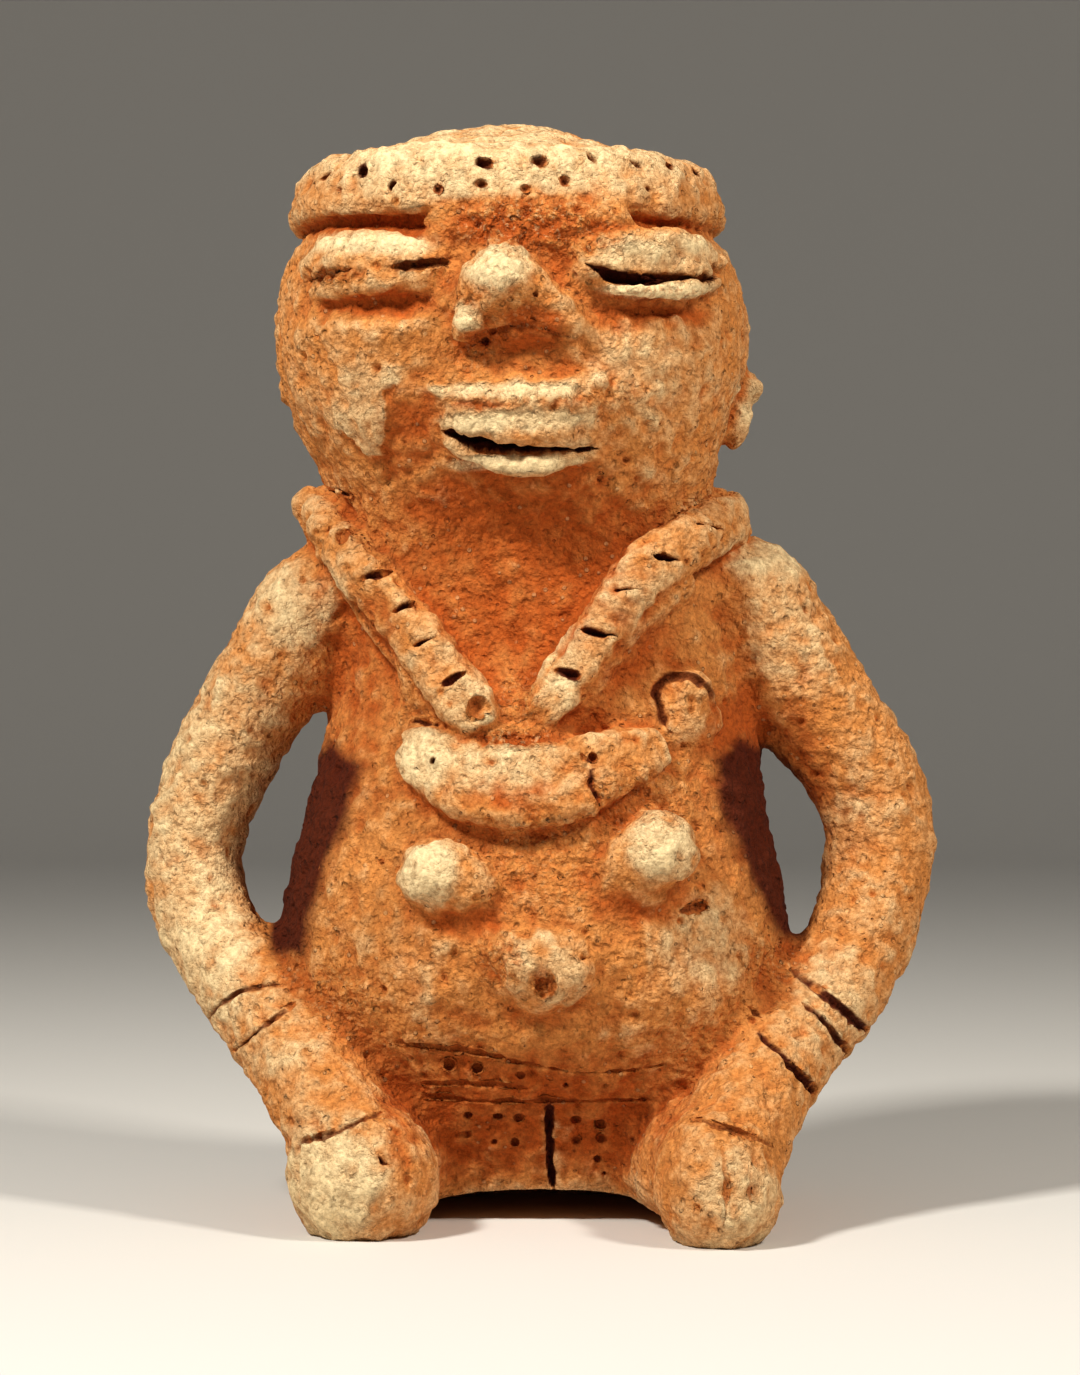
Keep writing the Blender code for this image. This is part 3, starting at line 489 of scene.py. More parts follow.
def pellet(centre, radii, yaw=0.0, rings=20, sides=28):
    """A ball of two angles, pressed to three radii and turned about Z."""
    tilt = np.linspace(0.02, np.pi - 0.02, rings)[:, None]
    turn = np.linspace(0, 2 * np.pi, sides, endpoint=False)[None]
    x, y = radii[0] * np.sin(tilt) * np.cos(turn), radii[1] * np.sin(tilt) * np.sin(turn)
    z = radii[2] * np.cos(tilt) + 0 * turn
    turned = np.stack((x * math.cos(yaw) - y * math.sin(yaw), x * math.sin(yaw) + y * math.cos(yaw), z), -1)
    return np.asarray(centre) + turned


def headband(sides=180):
    """The strip's cross-section carried round the head's oval just above the brow, its edge wavering by
    slow waves of the turn."""
    low = min(HEAD_SECTIONS, key=lambda section: abs(section[0] - BAND_LOW))
    turns = np.linspace(0, 2 * np.pi, sides, endpoint=False)
    waver = 0.35 * np.sin(3 * turns + 0.7) + 0.25 * np.sin(7 * turns + 2.0)
    rings = []
    for up, out in BAND_PROFILE:
        ring = oval([low], turns, out + 0.5 * waver)[0]
        ring[:, 2] = BAND_LOW + up + 0.6 * waver
        rings.append(ring)
    return np.stack(rings, 1)


def shell(grid, ring=False):
    """Points and faces of a closed skin over a grid: quads between neighbouring rows, then either a fan
    from the middle of each end row or, for a ring, quads from the last row back to the first."""
    rows, sides = grid.shape[:2]
    number = np.arange(rows * sides).reshape(rows, sides)
    if ring:
        number = np.vstack((number, number[:1]))
    turned = np.roll(number, -1, axis=1)
    quads = np.stack((number[:-1], turned[:-1], turned[1:], number[1:]), -1).reshape(-1, 4).tolist()
    if ring:
        return grid.reshape(-1, 3), quads
    ends = np.stack((grid[0].mean(0), grid[-1].mean(0)))
    first = np.stack((turned[0], number[0], np.full(sides, rows * sides)), -1).tolist()
    last = np.stack((number[-1], turned[-1], np.full(sides, rows * sides + 1)), -1).tolist()
    return np.vstack((grid.reshape(-1, 3), ends)), quads + first + last


def clay_object(name, shells):
    """One object that holds all the shells."""
    points, faces, used = [], [], 0
    for part_points, part_faces in shells:
        points.append(part_points)
        faces += [[number + used for number in face] for face in part_faces]
        used += len(part_points)
    mesh = bpy.data.meshes.new(name)
    mesh.from_pydata(np.vstack(points).tolist(), [], faces)
    obj = bpy.data.objects.new(name, mesh)
    bpy.context.scene.collection.objects.link(obj)
    return obj


def shell_of(obj):
    """The points and faces of an object, which is then taken away."""
    mesh = obj.data
    points = np.empty(len(mesh.vertices) * 3)
    mesh.vertices.foreach_get("co", points)
    faces = [list(face.vertices) for face in mesh.polygons]
    bpy.data.objects.remove(obj)
    bpy.data.meshes.remove(mesh)
    return points.reshape(-1, 3), faces


def settle(obj):
    """Turns the object's modifiers into its mesh."""
    bpy.context.view_layer.update()
    graph = bpy.context.evaluated_depsgraph_get()
    mesh = bpy.data.meshes.new_from_object(obj.evaluated_get(graph))
    obj.modifiers.clear()
    old, obj.data = obj.data, mesh
    bpy.data.meshes.remove(old)
    return obj


def fuse(obj, voxel, softening):
    """One skin round all the shells, its creases softened as by a wet thumb."""
    skin = obj.modifiers.new("Fuse", "REMESH")
    skin.mode = "VOXEL"
    skin.voxel_size = voxel
    if softening:
        soft = obj.modifiers.new("Soften", "SMOOTH")
        soft.factor = 0.5
        soft.iterations = softening
    return settle(obj)


class Skin:
    """The surface of the figure so far, for laying clay and tools on it along lines of sight."""

    def __init__(self, obj):
        self.tree = BVHTree.FromObject(obj, bpy.context.evaluated_depsgraph_get())

    def cast(self, start, toward):
        """Where the line first meets the skin and the way out there, or nothing if it passes by."""
        place, normal, _, _ = self.tree.ray_cast(Vector(start), Vector(toward).normalized())
        return (np.array(place), np.array(normal)) if place else None

    def seen(self, x, z):
        """The point of the front seen at x and z, and the way out of the skin there."""
        return self.cast(EYE_POINT, Vector((x, 0, z)) - Vector(EYE_POINT))

    def beside(self, x, z):
        """The same, but the nearest of the skin where the line of sight passes by."""
        place, normal, _, _ = self.tree.find_nearest(Vector((x, 0, z)))
        return self.seen(x, z) or (np.array(place), np.array(normal))

    def around(self, turn, z, axis_x=NAPE_AXIS_X):
        """The point at this turn from the front, in degrees, and this height, and the way out."""
        out = Vector((math.sin(math.radians(turn)), -math.cos(math.radians(turn)), 0))
        return self.cast(Vector((axis_x, 0, z)) + out * FAR, -out)

    def lay(self, rows, find=None):
        """A path and its outward directions from rows of two places, how far proud, and radius."""
        found = [(find or self.beside)(*row[:2]) for row in rows]
        path = [(*(place + normal * row[2]), row[3]) for (place, normal), row in zip(found, rows)]
        return path, [normal for _, normal in found]


def in_photo(px, py):
    """x and z as seen of a place in the photograph."""
    return (px - PHOTO_MIDDLE[0]) * PIXEL, EYE_POINT[2] + (PHOTO_MIDDLE[1] - py) * PIXEL


def body():
    """Head, trunk, arms and legs, as shells to be fused."""
    back = (0, 1, 0)
    up = (0, 0, 1)
    grids = [loft(HEAD_SECTIONS), loft(TRUNK_SECTIONS)]
    grids += [roll(arm, back, sides=28) for arm in (LEFT_ARM, RIGHT_ARM)]
    grids += [roll(leg, up, sides=28) for leg in (LEFT_LEG, RIGHT_LEG)]
    grids += [pellet(*LEFT_KNEE), pellet(*RIGHT_KNEE)]
    return [shell(grid) for grid in grids]


def strap(skin):
    """The roll round the neck, pressed to a squarish section."""
    parts = [skin.lay(STRAP_LEFT), skin.lay(NAPE, skin.around), skin.lay(STRAP_RIGHT)]
    path = sum((rows for rows, _ in parts), [])
    outward = sum((directions for _, directions in parts), [])
    return roll(path, outward, height=1.05, squareness=0.6, sides=32)


def crescent(skin):
    """The pendant: a slab, thick in the middle, its edge pressed steep."""
    path, outward = skin.lay(CRESCENT)
    return roll(path, outward, height=CRESCENT_FLATNESS, squareness=0.5, sides=36)


def yaw_at(skin, x, z):
    """How far the skin seen at x and z turns away from the front, about Z."""
    normal = skin.beside(x, z)[1]
    return math.atan2(normal[0], -normal[1])


def placed(skin, pellets, rolls):
    """Pellets and rolls laid where the photograph shows them."""
    grids = []
    for pixel, proud, radii in pellets:
        x, z = in_photo(*pixel)
        place, normal = skin.beside(x, z)
        grids.append(pellet(place + proud * normal, radii, yaw_at(skin, x, z)))
    for rows, height, squareness in rolls.values():
        path, outward = skin.lay([(*in_photo(px, py), proud, radius) for px, py, proud, radius in rows])
        grids.append(roll(path, outward, height, squareness))
    return [shell(grid) for grid in grids]


def applied(skin):
    """The strips and pellets pressed on the body: headband, strap, pendant, ears, lids and lips."""
    grids = [strap(skin), crescent(skin)] + [pellet(centre, radii) for centre, radii in EARS]
    shells = [shell(headband(), ring=True)] + [shell(grid) for grid in grids]
    return shells + placed(skin, CRISP_PELLETS, CRISP_ROLLS)


def hashed(cells, seed):
    """A number from 0 to 1 for each whole-number cell: its three indices are each multiplied by a large
    odd number and their bits are folded together."""
    x, y, z = (cells[..., axis].astype(np.uint32) for axis in range(3))
    mixed = (x * np.uint32(0x8DA6B343)) ^ (y * np.uint32(0xD8163841)) ^ (z * np.uint32(0xCB1AB31F))
    mixed = mixed + np.uint32((seed * 0x9E3779B9) % 2**32)
    for shift, factor in ((16, 0x7FEB352D), (15, 0x846CA68B)):
        mixed = (mixed ^ (mixed >> np.uint32(shift))) * np.uint32(factor)
    mixed ^= mixed >> np.uint32(16)
    return mixed.astype(np.float64) / 2**32


def turned_grid(points, seed):
    """The points turned by two angles of the seed, so that no two layers of noise share their axes."""
    a, b = 0.7 + 1.3 * seed, 0.4 + 0.9 * seed
    spin = np.array(((math.cos(a), -math.sin(a), 0), (math.sin(a), math.cos(a), 0), (0, 0, 1)))
    lean = np.array(((1, 0, 0), (0, math.cos(b), -math.sin(b)), (0, math.sin(b), math.cos(b))))
    return points @ (spin @ lean)


def swell(points, size, seed):
    """Smooth noise from -1 to 1: the numbers of the eight corners of each point's cell, weighted by the
    quintic 6t^5 - 15t^4 + 10t^3 of its place in the cell."""
    place = turned_grid(points, seed) / size
    cell = np.floor(place)
    t = place - cell
    cell = cell.astype(np.int64)
    t = t * t * t * (t * (t * 6 - 15) + 10)
    total = np.zeros(len(points))
    for corner in itertools.product((0, 1), repeat=3):
        weight = np.prod(np.where(np.array(corner, bool), t, 1 - t), axis=1)
        total += weight * hashed(cell + np.array(corner), seed)
    return 2 * total - 1


def rough(points, size, seed, layers=3):
    """Layers of smooth noise, each half the size and half the height of the one before."""
    return sum(0.5**k * swell(points, size * 0.5**k, seed + 7 * k) for k in range(layers)) / (
        2 - 0.5 ** (layers - 1))


def pebbles(points, size, seed):
    """For each point, how far the nearest of the random spots is, in cells, and that spot's number."""
    place = turned_grid(points, seed) / size
    cell = np.floor(place).astype(np.int64)
    nearest = np.full(len(points), 9.0)
    number = np.zeros(len(points))
    for step in itertools.product((-1, 0, 1), repeat=3):
        there = cell + np.array(step)
        spot = there + np.stack([hashed(there, seed + 11 * k) for k in (1, 2, 3)], -1)
        away = np.linalg.norm(spot - place, axis=1)
        closer = away < nearest
        nearest = np.where(closer, away, nearest)
        number = np.where(closer, hashed(there, seed + 5), number)
    return nearest, number


class Surface:
    """The skin's points, their outward directions and where the eye sees them, for moving them."""

    def __init__(self, obj):
        self.obj = obj
        count = len(obj.data.vertices)
        self.points = np.empty(count * 3)
        obj.data.vertices.foreach_get("co", self.points)
        self.points = self.points.reshape(-1, 3)
        self.read_normals()
        edges = np.empty(len(obj.data.edges) * 2, np.int64)
        obj.data.edges.foreach_get("vertices", edges)
        self.edges = edges.reshape(-1, 2)

    def read_normals(self):
        normals = np.empty(len(self.points) * 3)
        self.obj.data.vertices.foreach_get("normal", normals)
        self.normals = normals.reshape(-1, 3)

    def write(self):
        """Puts the moved points back in the mesh."""
        self.obj.data.vertices.foreach_set("co", self.points.ravel())
        self.obj.data.update()
        self.read_normals()

    def averaged(self, values, times):
        """Values blended with those of their neighbours along the edges, again and again."""
        first, second = self.edges.T
        count = len(values)
        degree = np.bincount(first, minlength=count) + np.bincount(second, minlength=count)
        degree = np.maximum(degree, 1)[:, None]
        values = values.reshape(count, -1)
        for _ in range(times):
            total = np.stack([
                np.bincount(first, weights=column[second], minlength=count)
                + np.bincount(second, weights=column[first], minlength=count)
                for column in values.T
            ], -1)
            values = 0.5 * values + 0.5 * total / degree
        return values

    def hollow(self, times):
        """How far each point lies below the skin that averaging it makes: above 0 in a hollow."""
        return np.einsum("ij,ij->i", self.averaged(self.points, times) - self.points, self.normals)

    def seen_at(self):
        """x and z as seen, and how squarely the skin faces the eye."""
        eye = np.array(EYE_POINT)
        sight = self.points - eye
        share = -eye[1] / sight[:, 1]
        facing = -np.einsum("ij,ij->i", unit(sight), self.normals)
        return sight[:, 0] * share, eye[2] + sight[:, 2] * share, facing

    def patch(self, fields):
        """The strongest of the oval fields at each point that faces the eye: full in an oval's middle
        and gone a third of its size past its edge."""
        x, z, facing = self.seen_at()
        turned_to = soft_step(-0.1, 0.25, facing)
        total = np.zeros(len(x))
        for px, py, half, tall, strength in fields:
            at_x, at_z = in_photo(px, py)
            away = np.hypot((x - at_x) / (half * PIXEL), (z - at_z) / (tall * PIXEL))
            total = np.maximum(total, strength * soft_step(1.35, 0.45, away))
        return total * turned_to

    def dents(self, fields):
        """The sum of the oval fields at each point that faces the eye, in millimetres."""
        return sum(self.patch([field[:4] + (1.0,)]) * field[4] for field in fields)

    def inside(self, outline):
        """How far inside an outline in the photograph each point is seen, in millimetres, and below 0
        outside: the distance to the nearest side, its sign from how often a level line crosses it."""
        x, z, _ = self.seen_at()
        corners = np.array([in_photo(*pixel) for pixel in outline])
        away = np.full(len(x), FAR)
        crossings = np.zeros(len(x), bool)
        for start, end in zip(corners, np.roll(corners, -1, axis=0)):
            span = end - start
            t = np.clip(((x - start[0]) * span[0] + (z - start[1]) * span[1]) / (span @ span), 0, 1)
            away = np.minimum(away, np.hypot(x - start[0] - t * span[0], z - start[1] - t * span[1]))
            level = (z < start[1]) != (z < end[1])
            crossing = start[0] + (z - start[1]) * span[0] / (span[1] or 1e-9)
            crossings ^= level & (x < crossing)
        return np.where(crossings, away, -away)

    def near_path(self, path, reach):
        """Numbers of the points within reach of a path, how far from it they are, and how far along."""
        path = np.asarray(path)
        low, high = path.min(0) - reach, path.max(0) + reach
        chosen = np.flatnonzero(np.all((self.points > low) & (self.points < high), axis=1))
        points = self.points[chosen]
        away = np.full(len(chosen), FAR)
        along = np.zeros(len(chosen))
        for k, (start, end) in enumerate(zip(path, path[1:])):
            span = end - start
            t = np.clip((points - start) @ span / max(span @ span, 1e-9), 0, 1)
            distance = np.linalg.norm(points - start - t[:, None] * span, axis=1)
            along = np.where(distance < away, (k + t) / (len(path) - 1), along)
            away = np.minimum(away, distance)
        return chosen, away, along

    def groove(self, path, inward, width, depth, lip):
        """Pushes points in near a path: by depth times (1 - d / 1.25w)^s, held at 0 or more, where w is
        the width, depth and distance d waver by noise, depth and width run out at the ends, and s makes
        a deep cut steeper. A low lip is raised beside it."""
        chosen, away, along = self.near_path(path, 4 * width)
        length = np.linalg.norm(np.diff(path, axis=0), axis=1).sum()
        taper = min(6 * width, 0.45 * length)
        ends = np.clip(np.minimum(along, 1 - along) * length / taper, 0.01, 1) ** 0.6
        uneven = 1 + 0.2 * swell(self.points[chosen], 1.8, 61)
        away = np.maximum(away + 0.12 * width * swell(self.points[chosen], 0.9, 62), 0)
        steep = 0.7 if depth < 2.5 * width else 0.4
        push = depth * uneven * ends * np.clip(1 - away / (1.25 * width * ends), 0, 1) ** steep
        raised = lip * width * np.exp(-(((away - 1.9 * width) / (0.6 * width)) ** 2)) * ends
        self.points[chosen] += (push - raised)[:, None] * inward

    def in_cut(self, path, inward, width, depth):
        """Numbers of the points in a cut, and how far down it they are, from 0 to 1, less at its ends."""
        path = np.asarray(path)
        chosen, _, along = self.near_path(path, width + depth)
        length = np.linalg.norm(np.diff(path, axis=0), axis=1).sum()
        from_end = np.minimum(along, 1 - along) * length
        ends = soft_step(0, min(0.2 * length, 1.5), from_end) if length > 1 else 1
        steps = np.arange(len(path))
        middle = np.stack([np.interp(along * steps[-1], steps, column) for column in path.T], -1)
        from_path = self.points[chosen] - middle
        deep = from_path @ inward
        across = np.linalg.norm(from_path - deep[:, None] * inward, axis=1)
        return chosen, ends * soft_step(0.08, 0.7, deep + 0.45 * width) * soft_step(1.6, 1.2, across / width)

    def punch(self, place, inward, radius, depth):
        """Pushes points in round a place by depth times (1 - (d / 1.25r)^2)^0.8, held at 0 or more, where
        d is the distance from the tool's axis and r its radius, and a little rim out."""
        from_place = self.points - place
        deep = from_place @ inward
        across = np.linalg.norm(from_place - deep[:, None] * inward, axis=1)
        close = np.abs(deep) < 3 * radius + 1.5
        push = depth * np.clip(1 - (across / (1.25 * radius)) ** 2, 0, 1) ** 0.8
        raised = 0.06 * radius * np.exp(-(((across - 1.6 * radius) / (0.45 * radius)) ** 2))
        self.points += ((push - raised) * close)[:, None] * inward


def tool_path(skin, pixels, steps=5):
    """The path on the skin under a line in the photograph, or nearest it where the line of sight passes
    by, and the mean way in, leaning along the line of sight."""
    found = [skin.beside(*in_photo(*pixel)) for pixel in smooth_through(pixels, steps)]
    inward = -unit(np.mean([normal for _, normal in found], axis=0) + np.array((0, -0.4, 0)))
    return [place for place, _ in found], inward


def marks(skin):
    """Every cut, slit, line and crack as a path on the skin, the way in, width, depth, lip and how dark
    its inside is painted, as painted shade with some dirt. A crack wanders from its line by noise."""
    made = []
    for start, end, width, depth in BAND_PITS:
        made.append((*tool_path(skin, (start, end)), width, depth, 0.10, min(0.2 + 0.3 * depth, 0.8)))
    for start, end, width, depth in NOTCHES:
        made.append((*tool_path(skin, (start, end)), width, depth, 0.12, 0.9))
    for pixels, width, depth in LINES:
        made.append((*tool_path(skin, pixels), width, depth, 0.14, min(1.25 * width, 0.9)))
    for pixels, width, depth, rise, dark in SLITS.values():
        path, inward = tool_path(skin, pixels)
        made.append((path, unit(inward + np.array((0, 0, rise))), width, depth, 0.06, dark))
    for number, pixels in enumerate(CRACKS):
        path, inward = tool_path(skin, pixels, 8)
        path = np.array(path)
        wander = np.stack([swell(path, 2.0, 90 + number + k) for k in range(3)], -1)
        made.append((path + 0.6 * wander, inward, 0.28, 0.9, 0.0, 0.75))
    return made


def punches(skin):
    """Every round hole as a place on the skin, the way in, radius, depth and how dark its inside is painted,
    as painted shade with some dirt.
    """
    made = []
    for px, py, radius, depth in HOLES:
        place, normal = skin.seen(*in_photo(px, py))
        made.append((place, -unit(normal + np.array((0, -1.0, 0))), radius, depth,
                     0.45 if radius < 1.2 else 0.2))
    for z, shift in BACK_BAND_ROWS:
        for k in range(BACK_BAND_PITS):
            turn = 360 * (k + shift) / BACK_BAND_PITS
            if 75 < turn < 285:
                place, normal = skin.around(turn, z, axis_x=HEAD_SECTIONS[-1][1])
                made.append((place, -normal, 0.9, 1.5, 0.5))
    return made


def refine(obj, paths, holes):
    """Splits the faces near the marks, so that their edges come out crisp."""
    for reach in (2.0, 1.3):
        surface = Surface(obj)
        chosen = np.zeros(len(surface.points), bool)
        for path in paths:
            near, away, _ = surface.near_path(path, reach)
            chosen[near[away < reach]] = True
        for place, _, radius, *_ in holes:
            chosen |= np.linalg.norm(surface.points - place, axis=1) < radius + 0.6 * reach
        split = np.flatnonzero(chosen[surface.edges].all(axis=1)).tolist()
        shape = bmesh.new()
        shape.from_mesh(obj.data)
        shape.edges.ensure_lookup_table()
        bmesh.ops.subdivide_edges(shape, edges=[shape.edges[k] for k in split], cuts=1, use_grid_fill=True)
        shape.to_mesh(obj.data)
        shape.free()


def mould(surface):
    """Soft dents, creases smeared by a thumb, and the crust on the cheek."""
    surface.points += surface.dents(DENTS)[:, None] * -surface.normals
    smeared = surface.averaged(surface.points, 24)
    surface.points += surface.patch(SOFTENED)[:, None] * (smeared - surface.points)
    surface.write()
    ragged = 0.45 * swell(surface.points, 1.8, 41) + 0.25 * swell(surface.points, 0.9, 42)
    crisp = surface.patch([CRUST_CRISP])
    raised = CRUST_HEIGHT * crisp * soft_step(-0.15, 0.25, surface.inside(CRUST) + ragged)
    surface.points += raised[:, None] * surface.normals
    surface.write()


def roughen(surface, lump, grain):
    """The hand's slow unevenness, crumbled fields, pits where grit fell out, and gritty skin."""
    points, normals = surface.points.copy(), surface.normals
    back = soft_step(8, 24, points[:, 1])
    crumb = surface.patch(CRUMBLY)
    out = lump * rough(points, 17, 1) + 0.14 * lump * rough(points, 6, 2, 2)
    out += (1 - 0.4 * back) * grain * (rough(points, 2.8, 3, 2) + 0.5 * swell(points, 1.4, 4))
    away, number = pebbles(points, 3.2, 5)
    out -= (number > 0.82) * 1.3 * grain * soft_step(0.30, 0.08, away) * (1 - 0.5 * back)
    broken = rough(points, 2.2, 8, 3)
    away, number = pebbles(points, 1.5, 9)
    out += crumb * (1.2 * broken + 1.2 * (0.5 - away) * (0.2 + number))
    surface.points += out[:, None] * normals


def flatten_underside(points):
    """Raises every point to the ground plane, or under the arch to its ellipsoid: a third radius times
    the root of 1 - x^2/a^2 - y^2/b^2 about its middle."""
    x = (points[:, 0] - ARCH_MIDDLE[0]) / ARCH_RADII[0]
    y = (points[:, 1] - ARCH_MIDDLE[1]) / ARCH_RADII[1]
    ground = ARCH_RADII[2] * np.sqrt(np.clip(1 - x**2 - y**2, 0, 1))
    points[:, 2] = np.maximum(points[:, 2], ground)


def thin_out(obj, triangles):
    """Fewer and larger triangles where the skin is plain."""
    obj.data.calc_loop_triangles()
    fewer = obj.modifiers.new("Thin out", "DECIMATE")
    fewer.ratio = triangles / len(obj.data.loop_triangles)
    fewer.use_collapse_triangulate = True
    return settle(obj)


def wash_colours(surface, pits):
    """Attributes for the finish: pale slip with painted highlight, painted shade as redder colour, hollows
    for painted shade and highlight, crumbled clay, the arms' painted shadow on the flanks, and painted shade
    in the cuts.
    """
    # Hollows and high places: the finish paints hollows redder and darker as painted shade, and high places
    # paler as painted highlight
    hollow = np.clip(0.5 + 0.9 * surface.hollow(5) + 0.25 * surface.hollow(30), 0, 1)
    ragged = 0.5 * swell(surface.points, 2.2, 41) + 0.35 * swell(surface.points, 0.9, 42)
    crust = soft_step(-0.3, 0.3, surface.inside(CRUST) + ragged) * surface.patch([CRUST_FIELD])
    facing = surface.seen_at()[2]
    # The arms' painted shadow on the flanks, its edge broken by noise, and kept to the skin facing the eye
    blotches = 1.5 * rough(surface.points, 7.0, 43)
    shade = sum(soft_step(-1.0, SHADE_EDGE, surface.inside(outline) + blotches) for outline in PAINTED_ARM_SHADOWS)
    # Painted shade inside cuts and holes, with some dirt: darker further down
    cut = np.zeros(len(surface.points))
    for path, inward, width, depth, dark in pits:
        near, down = surface.in_cut(path, inward, width, depth)
        cut[near] = np.maximum(cut[near], dark * down)
    layers = {
        "pale": np.maximum(surface.patch(SLIP_AND_PAINTED_HIGHLIGHT), crust),
        "deep": surface.patch(PAINTED_SHADE_FIELDS),
        "hollow": surface.averaged(hollow, 2)[:, 0],
        "crumb": surface.patch(CRUMBLY),
        "shade": shade * soft_step(-0.3, 0.05, facing)
        * soft_step(*SHADE_LIMITS, np.abs(surface.points[:, 0])),
        "cut": cut,
    }
    for name, values in layers.items():
        layer = surface.obj.data.attributes.new(name, "FLOAT", "POINT")
        layer.data.foreach_set("value", values.astype(np.float32))


class Finish:
    """A short way to build the clay's node tree."""

    def __init__(self, name):
        self.material = bpy.data.materials.new(name)
        self.material.use_nodes = True
        self.tree = self.material.node_tree
        self.shader = self.tree.nodes["Principled BSDF"]
        self.place = self.add("ShaderNodeTexCoord").outputs["Object"]

    def add(self, kind, **settings):
        node = self.tree.nodes.new(kind)
        for name, value in settings.items():
            setattr(node, name, value)
        return node

    def put(self, socket, value):
        if isinstance(value, bpy.types.NodeSocket):
            self.tree.links.new(value, socket)
        else:
            socket.default_value = value

    def noise(self, size, detail=2.0, roughness=0.5, distortion=0.0):
        """Noise whose waves are about this long, in metres."""
        node = self.add("ShaderNodeTexNoise")
        self.put(node.inputs["Vector"], self.place)
        for name, value in (("Scale", 1 / size), ("Detail", detail), ("Roughness", roughness),
                            ("Distortion", distortion)):
            node.inputs[name].default_value = value
        return node.outputs["Fac"]

    def spots(self, size):
        """Distance to the nearest random spot, in cells, and a random colour for each."""
        node = self.add("ShaderNodeTexVoronoi")
        self.put(node.inputs["Vector"], self.place)
        node.inputs["Scale"].default_value = 1 / size
        return node.outputs["Distance"], node.outputs["Color"]

    def grains(self, size, gone, full, low, high):
        """Round spots, full within one distance of their middles and gone at another, in the cells whose
        random number is high enough."""
        away, number = self.spots(size)
        return self.times(self.ramp(away, gone, full), self.ramp(number, low, high))

    def total(self, *parts, start=0.0):
        """The sum of values, each times its number."""
        result = start
        for value, number in parts:
            node = self.add("ShaderNodeMath", operation="MULTIPLY_ADD")
            for socket, given in zip(node.inputs, (value, number, result)):
                self.put(socket, given)
            result = node.outputs[0]
        return result

    def layer(self, name):
        """One of the mesh's own attributes."""
        return self.add("ShaderNodeAttribute", attribute_name=name).outputs["Fac"]

    def times(self, first, second):
        node = self.add("ShaderNodeMath", operation="MULTIPLY")
        self.put(node.inputs[0], first)
        self.put(node.inputs[1], second)
        return node.outputs[0]

    def ramp(self, value, low, high, to_low=0.0, to_high=1.0):
        """The value brought from low..high to to_low..to_high with soft ends."""
        node = self.add("ShaderNodeMapRange", interpolation_type="SMOOTHSTEP")
        for name, number in (("Value", value), ("From Min", low), ("From Max", high),
                             ("To Min", to_low), ("To Max", to_high)):
            self.put(node.inputs[name], number)
        return node.outputs[0]

    def mix(self, share, first, second, blend="MIX"):
        node = self.add("ShaderNodeMix", data_type="RGBA", blend_type=blend)
        self.put(node.inputs["Factor"], share)
        self.put(node.inputs["A"], first)
        self.put(node.inputs["B"], second)
        return node.outputs["Result"]

    def bump(self, height, distance, below=None):
        node = self.add("ShaderNodeBump")
        self.put(node.inputs["Height"], height)
        node.inputs["Distance"].default_value = distance
        node.inputs["Strength"].default_value = 1.0
        if below is not None:
            self.put(node.inputs["Normal"], below)
        return node.outputs["Normal"]


